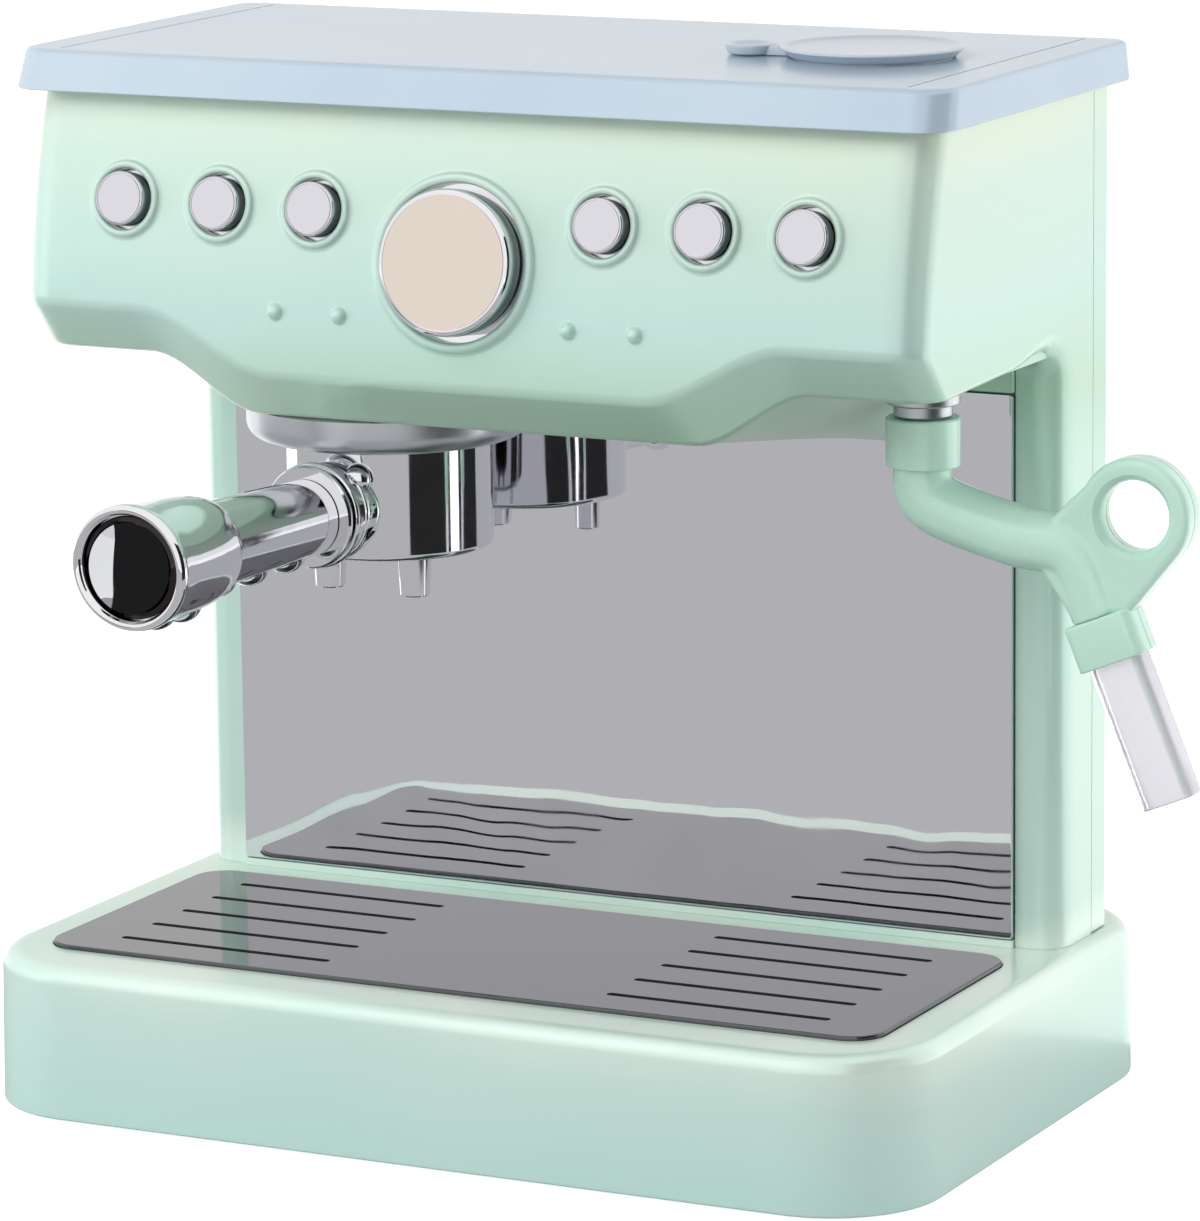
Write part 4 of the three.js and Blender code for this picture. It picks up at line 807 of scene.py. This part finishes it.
def housing_piece():
    made = head_skin()
    small_hole, brew_hole = 7.4, 18.8
    for x in small_columns:
        cut(made, placed(drum_form(small_hole + 0.4, -9, 9, 72), on_fascia(x, small_row)))
    cut(made, placed(drum_form(brew_hole + 0.4, -9, 9, 96), on_fascia(0, brew_row)))
    extras = []
    for x in small_columns:
        extras.append(bowed(ring_form(9.2, small_hole, 1.4), x, small_row))
    extras.append(bowed(ring_form(21.2, brew_hole, 1.8), 0, brew_row))
    for x in dot_columns:
        extras.append(bowed(dot_form(), x, dot_row))
    beam_top = head_top - 44
    for side in (-1, 1):
        outer = side * (house_half - 1.0)
        xs = sorted((side * pillar_x, outer))
        post = box_form((xs[0], pillar_front + 0.4, tower_seat), (xs[1], seam, beam_top))

        def at_corner(a, b):
            return is_upright(a, b) and abs(a.x - outer) < 0.1 and a.y < pillar_front + 1

        round_edges(post, 7.0, 12, at_corner)
        extras.append(post)
    front, back = mirror_low.y, mirror_high.y + gap + 2.6
    side = pillar_x - gap
    beam = box_form((-side, front, mirror_high.z + gap), (side, back, beam_top))
    round_edges(beam, 0.5, 3, both_at(mirror_high.z + gap))
    sill = box_form((-side, front, tower_seat), (side, back, mirror_low.z - gap))
    edge_low = (-pillar_x, mirror_high.y + gap, tower_seat)
    edge = box_form(edge_low, (pillar_x, back + 0.2, beam_top - 0.2))
    window = box_form((8 - pillar_x, 0, mirror_low.z + 8), (pillar_x - 8, 60, mirror_high.z - 8))
    cut(edge, window)
    joined(made, *extras, beam, sill, edge)
    dress(made, "tower_and_head", mint, "main_housing", flat=True)


def belly_piece():
    half, front, back = house_half - 2.9, -43.1, mirror_low.y - gap
    across, along = 120, 28

    def place(i, j):
        x = -half + 2 * half * i / across
        y = front + (back - front) * j / along
        z = chamfer_edge(x) + (belly_edge(x) - chamfer_edge(x)) * (y - front) / (back - front)
        corner = 6.0
        past = max(0.0, abs(x) - (half - corner))
        nearest = front + corner - math.sqrt(max(0.0, corner**2 - past**2))
        return (x, max(y, nearest), z + 0.25)

    made = sheet_form(across, along, place)
    if made.data.polygons[len(made.data.polygons) // 2].normal.z > 0:
        flip(made)
    modify(made, "SOLIDIFY", thickness=2.2 * MM, offset=-1)
    ring_low, ring_high = corners("group_ring")
    middle = (ring_low + ring_high) / 2
    ring_radius, collar_radius = (ring_high.x - ring_low.x) / 2, 8.8
    cut(made, placed(drum_form(ring_radius + gap, 140, 200, 96), shift(middle.x, middle.y, 0)))
    collar_x = (collar_low.x + collar_high.x) / 2
    cut(made, placed(drum_form(collar_radius + gap, 140, 200, 64), shift(collar_x, middle.y, 0)))
    dress(made, "belly_shell", mint, "underside_shell")


def mirror_piece():
    made = box_form(mirror_low, mirror_high)
    round_edges(made, 0.8, 4, lambda a, b: abs(a.y - b.y) > 1)
    round_edges(made, 0.3, 2, both_at(mirror_low.y, 1))
    dress(made, "mirror_plate", mirror_film, "mirror_panel", flat=True)


# Lid and filler cap


filler_at = shift(cap_high.x - 25, (cap_low.y + cap_high.y) / 2, 0)


def lid_piece():
    low, high = lid_low, lid_high
    seat = head_top
    made = box_form((low.x + 0.6, low.y, seat), (high.x - 0.6, high.y - 0.6, high.z))
    round_edges(made, 9, 14, lambda a, b: is_upright(a, b) and a.y < 0)
    round_edges(made, 6, 10, lambda a, b: is_upright(a, b) and a.y > 60)
    top_x, top_front, top_back = 123.0, -48.5, 64.8
    pick_points(made, lambda x, y, z: z > seat + 1)
    back = high.y - 0.6
    k = (top_x / (high.x - 0.6), (top_back - top_front) / (back - low.y), 1)
    bpy.ops.transform.resize(value=k, center_override=(0, (low.y + back) / 2 * MM, 0))
    slide = (top_back + top_front - back - low.y) / 2
    bpy.ops.transform.translate(value=(0, slide * MM, 0))
    leave()
    round_edges(made, 1.3, 6, both_at(high.z))
    round_edges(made, 0.5, 3, both_at(seat))
    shell, floor, bore = 2.4, high.z - 19, 19.55
    hollow = slab_form((-114, -38, seat - 2), (114, 57.8, high.z - shell), 6, 8)
    cut(made, hollow, placed(drum_form(bore, floor, high.z + 1, 96), filler_at))
    for side in (-1, 1):
        x = side * 112
        cut(made, box_form((x - 0.3, top_front + 4, high.z - 0.2), (x + 0.3, top_back - 4, high.z + 1)))
    well = placed(drum_form(21.9, floor - shell, high.z - 1.2, 96), filler_at)
    cut(well, placed(drum_form(bore, floor, high.z + 1, 96), filler_at))
    rim = slab_form((-116.3, -40.2, seat - 5), (116.3, 58.2, seat + 1), 6.4, 8)
    cut(rim, slab_form((-114, -38, seat - 8), (114, 56, seat + 4), 4.4, 8))
    joined(made, well, rim)
    dress(made, "lid_cover", pearl_blue, "lid_tray", flat=True)


def cap_piece():
    low = lid_high.z + gap
    high = low + 2.5
    outline = [[0, low - 7], [18.9, low - 7], [19.2, low - 6.6], [19.2, low], [19.5, low]]
    outline += [[19.8, low + 0.15], [20.3, low + 0.6], [21.2, high - 0.95], [21.7, high - 0.6]]
    outline += rounded(21.55, high - 0.35, 0.35, -30, 120, 6)
    outline += [[20.9, high - 0.14], [20.3, high - 0.42], [19.4, high - 0.6]]
    outline += [[12, high - 0.75], [0, high - 0.8]]
    made = placed(turned_form(outline, 120), filler_at)
    at = filler_at @ turned_by(180 + 9.5, "Z") @ shift(29.8, 0, 0)
    tab = [[0, low], [5.2, low], [5.7, low + 0.3], [6.2, high - 0.7], [6.15, high - 0.3]]
    tab += [[5.8, high - 0.02], [5.3, high], [4.7, high - 0.2], [3.6, high - 0.7]]
    tab += [[2.0, high - 0.95], [0, high - 1.0]]
    tongue = box_form((-9.6, -3.4, low), (-4.6, 3.4, high - 0.3))
    round_edges(tongue, 0.7, 4, both_at(high - 0.3))
    joined(made, placed(turned_form(tab, 64), at), placed(tongue, at))
    dress(made, "filler_lid", pale_blue, "filler_cap", "filler_cap")


# Buttons


def button_form(radius, face, proud, flange, stem):
    soft = (radius - face - 0.15) * 0.95
    outline = [[0, proud], [face, proud], [face + 0.04, proud - 0.3], [face + 0.12, proud - 0.3]]
    outline += [[face + 0.15, proud - 0.04]]
    outline += rounded(radius - soft, proud - 0.04 - soft, soft, 88, 0, 8)
    outline += [[radius, -2.9], [flange, -2.9], [flange, -4.4], [2.5, -4.4], [2.5, stem], [0, stem]]
    return turned_form(outline, 112)


def button_pieces():
    first = button_form(6.5, 5.8, 3.4, 8.2, -9.4)
    for i, x in enumerate(small_columns, 1):
        made = again(first, on_fascia(x, small_row))
        dress(made, "key_%d" % i, button_chrome, "button_%d" % i, "button_%d" % i)
    bpy.data.objects.remove(first)
    made = button_form(17.4, 15.9, 6.2, 19.4, -7.9)
    flat = [f for f in made.data.polygons if f.center.z > 6.1 * MM]
    face = [f.index for f in flat if f.center.xy.length < 15 * MM]
    placed(made, on_fascia(0, brew_row))
    dress(made, "brew_key", chrome, "brew_button", "brew_button")
    paint(made, warm_chrome, face)


# Group ring, portafilter and its handle

group_at = shift(-42.3, -10, 0)
handle_turn = 5.5
cup_at = group_at @ turned_by(-handle_turn, "Z")
handle_at = cup_at @ shift(0, 0, 146.7) @ turned_by(90, "X")


def group_piece():
    outline = [[0, 172], [27, 172], [27, 162.3], [27.5, 161.8]]
    outline += rounded(30.4, 166.3, 4.5, -90, 0, 10)
    outline += [[34.9, 170.2], [34.5, 170.6], [32.7, 170.6], [32.7, 175], [0, 175]]
    made = placed(turned_form(outline, 128), group_at)
    dress(made, "group_head", satin, "group_ring")


def cup_piece():
    outline = [[0, 137.4], [22.8, 137.4], [22.8, 167.6], [23.2, 168], [25.0, 168], [25.4, 167.6]]
    outline += [[25.4, 136.0]] + rounded(23.8, 136.0, 1.6, 0, -90, 6) + [[0, 134.4]]
    made = placed(turned_form(outline, 144), cup_at)
    neck = [[0, 20], [12, 20], [12, 27.1], [11.8, 27.5], [11.5, 27.7], [11.5, 30.8], [11.3, 31], [0, 31]]
    neck = placed(turned_form(neck, 80), handle_at)
    turn = math.radians(16.5)
    boss = [[0, -3.8]] + rounded(0, 0, 3.8, -84, 84, 14) + [[0, 3.8]]
    boss_at = cup_at @ shift(25.4 * math.sin(turn), -25.4 * math.cos(turn), 155)
    boss = placed(turned_form(boss, 40), boss_at)
    lugs = []
    for side in (-1, 1):
        lug = box_form((22.9, -6, 162.6), (26.7, 6, 165))
        round_edges(lug, 0.6, 3, lambda a, b: True)
        lugs.append(placed(lug, cup_at @ turned_by(90 - 90 * side, "Z")))
    joined(made, neck, boss, *lugs)
    dress(made, "cup_body", chrome, "portafilter_cup", "portafilter")


def basket_piece():
    outline = [[0, 141.3], [22.2, 141.3], [22.5, 141.6], [22.5, 168.3], [24.3, 168.3], [24.6, 168.6]]
    outline += [[24.6, 169.3], [24.4, 169.5], [21.4, 169.5], [21.1, 169.2], [21.1, 142.7], [0, 142.7]]
    made = placed(turned_form(outline, 96), cup_at)
    dress(made, "coffee_basket", zinc, "filter_basket", "basket")


def spout_pieces():
    outline = [[1.9, 124.1], [3.4, 124.1], [3.7, 124.4], [4.2, 134.1]]
    outline += [[3.1, 134.1], [3.1, 136.5], [1.9, 136.5]]
    for side, name in ((-1, "left"), (1, "right")):
        made = turned_form(outline, 56, closed=True)
        placed(made, cup_at @ shift(side * 12.45, -8.5, 0))
        dress(made, "outlet_" + name, chrome, "spout_" + name, "portafilter")


def pads(places, radius_at):
    made = []
    for place in places:
        pad = turned_form([[0, -1]] + rounded(0, 0, 1, -80, 80, 12) + [[0, 1]], 32)
        pad.scale = (5.0, 4.8, 5.6)
        settle(pad)
        made.append(placed(pad, handle_at @ shift(0, -radius_at(place) + 2.4, place)))
    return made


# Where the grip starts to flare and over what length, how much wider and longer it grows
flare_start, flare_length, flare_widening, flare_reach = 84, 14, 0.08, 3.6

# The end disc: the height from which it leans, its slope, how far it is set in, its rim
disc_foot, disc_lean, disc_inset, disc_rim = 104.7, 0.095, 0.3, 10.9


def handle_pieces():
    outline = [[0, 31.3], [12.6, 31.3]] + rounded(12.0, 32.4, 1.0, -60, 60, 6)
    outline += [[12.6, 33.5], [11.2, 33.6], [11.2, 34.1], [12.2, 34.2]]
    outline += rounded(11.9, 35.1, 0.75, -60, 60, 5) + [[12.1, 36.0], [0, 36.0]]
    made = placed(turned_form(outline, 88), handle_at)
    dress(made, "collar_rings", chrome, "handle_collar", "portafilter")
    shaft = placed(turned_form([[0, 36.3], [9.3, 36.3], [10.6, 79.7], [0, 79.7]], 88), handle_at)
    joined(shaft, *pads([45.5, 60.6, 74], lambda p: 9.3 + 1.3 * (p - 36.3) / 43.7))
    dress(shaft, "handle_stem", chrome, "handle_shaft", "portafilter")
    outline = [[0, 80], [12.0, 80], [12.3, 80.3], [12.6, 81.6], [13.1, 83.6], [13.6, 86], [13.9, 89]]
    outline += [[14.1, 93], [14.3, 98], [14.7, 102], [14.9, 103.4]] + lip_of(13.75, 104.1, 1.2, 2.0)
    outline += [[12.5, 104.9], [12.45, 104.3], [12.45, 102.4], [0, 102.4]]
    grip = placed(flared(turned_form(outline, 112)), handle_at)
    joined(grip, *pads([88.5, 98.5], lambda p: 14))
    dress(grip, "handle_barrel", chrome, "handle_grip", "portafilter")
    outline = [[0, 102.7], [12.2, 102.7], [12.2, 103.7], [12.0, 104.0], [11.2, 104.3], [10.9, 104.5]]
    outline += [[10.75, 104.8], [10.6, 105.25], [9.4, 105.27], [7.5, 105.3], [5, 105.33]]
    outline += [[2.5, 105.344], [0, 105.35]]
    cap = flared(turned_form(outline, 96))
    for point in cap.data.vertices:
        p = point.co / MM
        if p.z > disc_foot + flare_reach:
            point.co.z -= (p.y * disc_lean + disc_inset) * MM
    rim = [f.index for f in cap.data.polygons if (f.center.xy / MM).length > disc_rim]
    placed(cap, handle_at)
    dress(cap, "handle_cap", disc_chrome, "handle_end_cap", "portafilter")
    paint(cap, black_mirror, rim)


def lip_of(radius, height, half_width, rise):
    """The rounded rim at the end of the grip, as part of its outline."""
    made = []
    for i in range(11):
        a = math.radians(15 * i)
        made.append([radius + half_width * math.cos(a), height + rise * math.sin(a)])
    return made


def flared(piece):
    """The grip grows longer towards its end, and wider than it is high."""
    for point in piece.data.vertices:
        part = ease((point.co.z / MM - flare_start) / flare_length)
        point.co.x *= 1 + flare_widening * part
        point.co.z += flare_reach * part * MM
    return piece


# Steam wand

wand_x, wand_y = 100.4, -10.0
loop_x, loop_z = 155.0, 156.0
sleeve_x, sleeve_z, sleeve_turn = 145.9, 131.4, 22.4
swivel_at = shift(wand_x, wand_y, 0)


def collar_piece():
    outline = [[4.9, 175.7], [6.7, 175.7], [7.0, 176.0], [7.0, 178.3], [7.2, 178.5], [8.4, 178.5]]
    outline += [[8.8, 178.9], [8.8, 187.4], [11.4, 187.4], [11.4, 189.4], [4.9, 189.4]]
    made = placed(turned_form(outline, 72, closed=True), swivel_at)
    dress(made, "swivel_collar", satin, "wand_collar")


def clip_piece():
    outline = [[4.1, 189.7], [7.7, 189.7], [8, 190], [8, 192], [7.7, 192.3], [4.1, 192.3]]
    made = placed(turned_form(outline, 56, closed=True), swivel_at)
    dress(made, "swivel_clip", black_plastic, "wand_clip", "wand")


def between(a, b, c, d, t):
    """A place on the smooth curve from b to c that comes from a and goes on to d."""
    bend = (2 * a - 5 * b + 4 * c - d) * t**2 + (3 * b - a - 3 * c + d) * t**3
    return 0.5 * (2 * b + (c - a) * t + bend)


def arm_form():
    line = [
        (wand_x, 168.0),
        (wand_x, 164.0),
        (wand_x, 159.0),
        (wand_x + 4.6, 154.2),
        (123.3, 148.9),
        (138.7, 145.8),
        (sleeve_x, sleeve_z),
        (sleeve_x + 2, sleeve_z - 5),
    ]
    points = [Vector(p) for p in line]
    steps_each, sides = 8, 40
    path = []
    for k in range(1, len(points) - 2):
        a, b, c, d = points[k - 1 : k + 3]
        for s in range(steps_each):
            path.append(between(a, b, c, d, s / steps_each))
    path.append(points[-2])
    rows = len(path) - 1

    def place(i, j):
        j = min(j, rows)
        at = path[j]
        ahead = (path[min(j + 1, rows)] - path[max(j - 1, 0)]).normalized()
        across = Vector((ahead.y, -ahead.x))
        t = j / rows
        wide = 6.8 + 0.6 * ease(t / 0.35)
        deep = wide + (6.1 - wide) * ease((t - 0.5) / 0.5)
        a = 2 * math.pi * i / sides
        x, z = at + across * wide * math.cos(a)
        return (x, wand_y + deep * math.sin(a), z)

    made = sheet_form(sides, rows, place)
    open_whole(made)
    bpy.ops.mesh.remove_doubles(threshold=0.01 * MM)
    bpy.ops.mesh.select_mode(type="EDGE")
    bpy.ops.mesh.select_all(action="DESELECT")
    bpy.ops.mesh.select_non_manifold()
    bpy.ops.mesh.edge_face_add()
    bpy.ops.mesh.select_all(action="SELECT")
    bpy.ops.mesh.fill_holes(sides=0)
    leave()
    return outward(made)


def web_form():
    outline = []
    r = 13.8
    for i in range(33):
        a = math.radians(152 + (-36 - 152) * i / 32)
        outline.append((loop_x + r * math.cos(a), loop_z + r * math.sin(a)))
    outline += [(sleeve_x + 8.2, sleeve_z + 1.6), (sleeve_x - 6.2, sleeve_z - 1.0)]
    outline += [(127.7, 147.7), (134.3, 154.3)]
    clear_selection()
    bpy.ops.mesh.primitive_circle_add(vertices=len(outline), radius=1, fill_type="NGON")
    made = bpy.context.object
    for point, (x, z) in zip(made.data.vertices, outline):
        point.co = Vector((x, wand_y + 4.5, z)) * MM
    open_whole(made)
    bpy.ops.mesh.extrude_region_move(TRANSFORM_OT_translate={"value": (0, -9 * MM, 0)})
    leave()
    outward(made)
    for y in (wand_y - 4.5, wand_y + 4.5):
        round_edges(made, 1.6, 4, both_at(y, 1))
    return made


def sleeve_bar(width, depth, corner, start, end, rim, foot):
    low, high = (-width / 2, -depth / 2, -end), (width / 2, depth / 2, -start)
    at = shift(sleeve_x, wand_y, sleeve_z) @ turned_by(-sleeve_turn, "Y")
    return placed(slab_form(low, high, corner, 8, rim, foot), at)


def half_of(piece, front):
    made = again(piece, Matrix.Identity(4))
    open_whole(made)
    y = wand_y + (-0.12 if front else 0.12)
    bpy.ops.mesh.bisect(
        plane_co=(0, y * MM, 0),
        plane_no=(0, 1, 0),
        use_fill=True,
        clear_outer=front,
        clear_inner=not front,
    )
    leave()
    return made


def wand_pieces():
    body = joined(arm_form(), web_form())
    eye = [[0, -9], [14, -9], [10.0, -4.5], [8.9, -3.6], [8.4, -2.6], [8.3, -1.5]]
    eye += [[8.3, 1.5], [8.4, 2.6], [8.9, 3.6], [10.0, 4.5], [14, 9], [0, 9]]
    eye = placed(turned_form(eye, 72), shift(loop_x, wand_y, loop_z) @ turned_by(90, "X"))
    modify(body, "REMESH", mode="VOXEL", voxel_size=0.5 * MM)
    modify(body, "SMOOTH", factor=0.5, iterations=10)
    cut(body, eye)
    socket = [[0, 163.7], [8.6, 163.7], [8.9, 164.0], [8.9, 175.0], [8.5, 175.4], [4.6, 175.4], [4.6, 189.4]]
    socket += [[3.8, 189.4], [3.8, 192.6], [4.6, 192.6], [4.6, 193.1], [4.3, 193.4], [0, 193.4]]
    socket = placed(turned_form(socket, 72), swivel_at)
    sleeve = sleeve_bar(17.6, 12, 3, 0, 11.2, 0.7, 0.5)
    cut(sleeve, sleeve_bar(14.5, 9.6, 2.9, 2.9, 15, 0, 0))
    for front, name in ((True, "front"), (False, "back")):
        made = joined(*[half_of(part, front) for part in (body, socket, sleeve)])
        node = "wand_%s_half" % name
        dress(made, "wand_shell_" + name, mint_wand, node, "wand", degrees=40)
    for part in (body, socket, sleeve):
        bpy.data.objects.remove(part)
    nozzle = sleeve_bar(13.9, 9, 2.6, 3.2, 46.5, 0.4, 0.6)
    dress(nozzle, "wand_tip", clear_bar, "wand_nozzle", "wand")


# The pieces in their order

base_piece()
tray_piece()
drip_piece()
carried("base_bottom_plate", "bottom_cover", mint)
carried("battery_door", "battery_hatch", mint)
carried("battery_box", "battery_case", black_plastic)
carried("back_cover", "rear_cover", mint, width=0.5)
foot_pieces()
screw_pieces()
housing_piece()
belly_piece()
mirror_piece()
lid_piece()
cap_piece()
button_pieces()
group_piece()
cup_piece()
basket_piece()
spout_pieces()
handle_pieces()
collar_piece()
clip_piece()
wand_pieces()
repaint("speaker", black_plastic)
repaint("circuit_board", board_green)
repaint("keypad_membrane", rubber)


# Camera, floor and light


def put_camera():
    target = Vector((0.00987, 0, 0.11976))
    place = Vector((0.69774, -1.36824, 0.43014))
    back = (place - target).normalized()
    right = Vector((0, 0, 1)).cross(back).normalized()
    up = back.cross(right)
    roll = math.radians(-0.69)
    across = right * math.cos(roll) + up * math.sin(roll)
    upward = up * math.cos(roll) - right * math.sin(roll)
    data = bpy.data.cameras.new("view")
    data.sensor_fit = "HORIZONTAL"
    data.sensor_width = 36
    data.lens = 192.06
    data.clip_start, data.clip_end = 0.05, 50
    camera = bpy.data.objects.new("view", data)
    bpy.context.collection.objects.link(camera)
    matrix = Matrix((across, upward, back)).transposed().to_4x4()
    matrix.translation = place
    camera.matrix_world = matrix
    bpy.context.scene.camera = camera


def is_seen(tree):
    """1 for rays from the camera and for mirrored and transmitted ones, 0 for diffuse ones."""
    ray = add(tree, "ShaderNodeLightPath")
    value = ray.outputs["Is Camera Ray"]
    for kind in ("Is Glossy Ray", "Is Transmission Ray"):
        either = add(tree, "ShaderNodeMath", operation="MAXIMUM")
        tree.links.new(value, either.inputs[0])
        tree.links.new(ray.outputs[kind], either.inputs[1])
        value = either.outputs[0]
    return value


def put_floor():
    clear_selection()
    bpy.ops.mesh.primitive_plane_add(size=14, location=(0, 0, -1.25 * MM))
    floor = bpy.context.object
    floor.name = "floor"
    made, tree, skin = finish_of("pale_floor")
    preset(skin, Base_Color=(0.9, 0.9, 0.9, 1), Roughness=0.9, Specular_IOR_Level=0.0)
    shaded = add(tree, "ShaderNodeBsdfDiffuse")
    preset(shaded, Color=(0.62, 0.62, 0.62, 1))
    white = add(tree, "ShaderNodeEmission")
    preset(white, Strength=0.85)
    total = add(tree, "ShaderNodeAddShader")
    tree.links.new(skin.outputs[0], total.inputs[0])
    tree.links.new(white.outputs[0], total.inputs[1])
    choice = add(tree, "ShaderNodeMixShader")
    tree.links.new(is_seen(tree), choice.inputs[0])
    tree.links.new(shaded.outputs[0], choice.inputs[1])
    tree.links.new(total.outputs[0], choice.inputs[2])
    tree.links.new(choice.outputs[0], tree.nodes["Material Output"].inputs["Surface"])
    floor.data.materials.append(made)


def put_world():
    world = bpy.data.worlds.new("studio")
    bpy.context.scene.world = world
    world.use_nodes = True
    tree = world.node_tree
    shade = tree.nodes["Background"]
    preset(shade, Color=(1, 1, 1, 1))
    strength = add(tree, "ShaderNodeMapRange")
    preset(strength, To_Min=0.38, To_Max=1.0)
    tree.links.new(is_seen(tree), strength.inputs["Value"])
    tree.links.new(strength.outputs[0], shade.inputs["Strength"])


def put_lamp(name, place, aim, wide, tall, power):
    """A soft lamp that mirrored rays do not meet."""
    data = bpy.data.lights.new(name, "AREA")
    data.shape = "RECTANGLE"
    data.size, data.size_y = wide, tall
    data.energy = power
    lamp = bpy.data.objects.new(name, data)
    bpy.context.collection.objects.link(lamp)
    lamp.visible_glossy = False
    lamp.location = place
    lamp.rotation_mode = "QUATERNION"
    lamp.rotation_quaternion = (Vector(aim) - Vector(place)).to_track_quat("-Z", "Y")


def put_card(name, value, low, high):
    """A flat card of one tone that only glossy rays meet, for the plated parts to show."""
    card = box_form([v * 1000 for v in low], [v * 1000 for v in high])
    card.name = name
    made, tree, skin = finish_of(name)
    tree.nodes.remove(skin)
    tone = add(tree, "ShaderNodeEmission")
    preset(tone, Color=(value, value, value * 1.02, 1))
    tree.links.new(tone.outputs[0], tree.nodes["Material Output"].inputs["Surface"])
    card.data.materials.append(made)
    for kind in ("camera", "diffuse", "shadow", "transmission", "volume_scatter"):
        setattr(card, "visible_" + kind, False)
    return card


def wall_card(name, value, first, last, height):
    """A standing card between two places on the floor."""
    first, last = Vector((*first, 0)), Vector((*last, 0))
    along = last - first
    card = put_card(name, value, (0, -0.002, 0), (along.length, 0.002, height))
    turn = math.degrees(math.atan2(along.y, along.x))
    return placed(card, Matrix.Translation(first) @ turned_by(turn, "Z"))


put_camera()
put_floor()
put_card("floor_card", 0.5, (-1.6, -1.7, -0.001), (0.9, 0.09, 0.0))
wall_card("side_card", 0.02, (0.335, -0.338), (0.454, 0.051), 0.5)
wall_card("narrow_card", 0.02, (-0.852, -0.997), (-0.7, -1.116), 0.27)
wall_card("bright_card", 1.35, (0.55, 0.62), (0.22, 0.9), 0.9)
put_world()
put_lamp("high_soft", (-0.55, -1.15, 1.25), (0, 0, 0.12), 1.1, 1.0, 15)
put_lamp("right_soft", (1.5, -0.1, 0.3), (0, 0, 0.1), 0.9, 0.9, 9)
put_lamp("left_soft", (-1.1, -0.8, 0.3), (0, 0, 0.15), 0.7, 0.6, 6)
put_lamp("back_soft", (0.9, 1.4, 0.45), (0, 0, 0.1), 1.0, 0.8, 9)
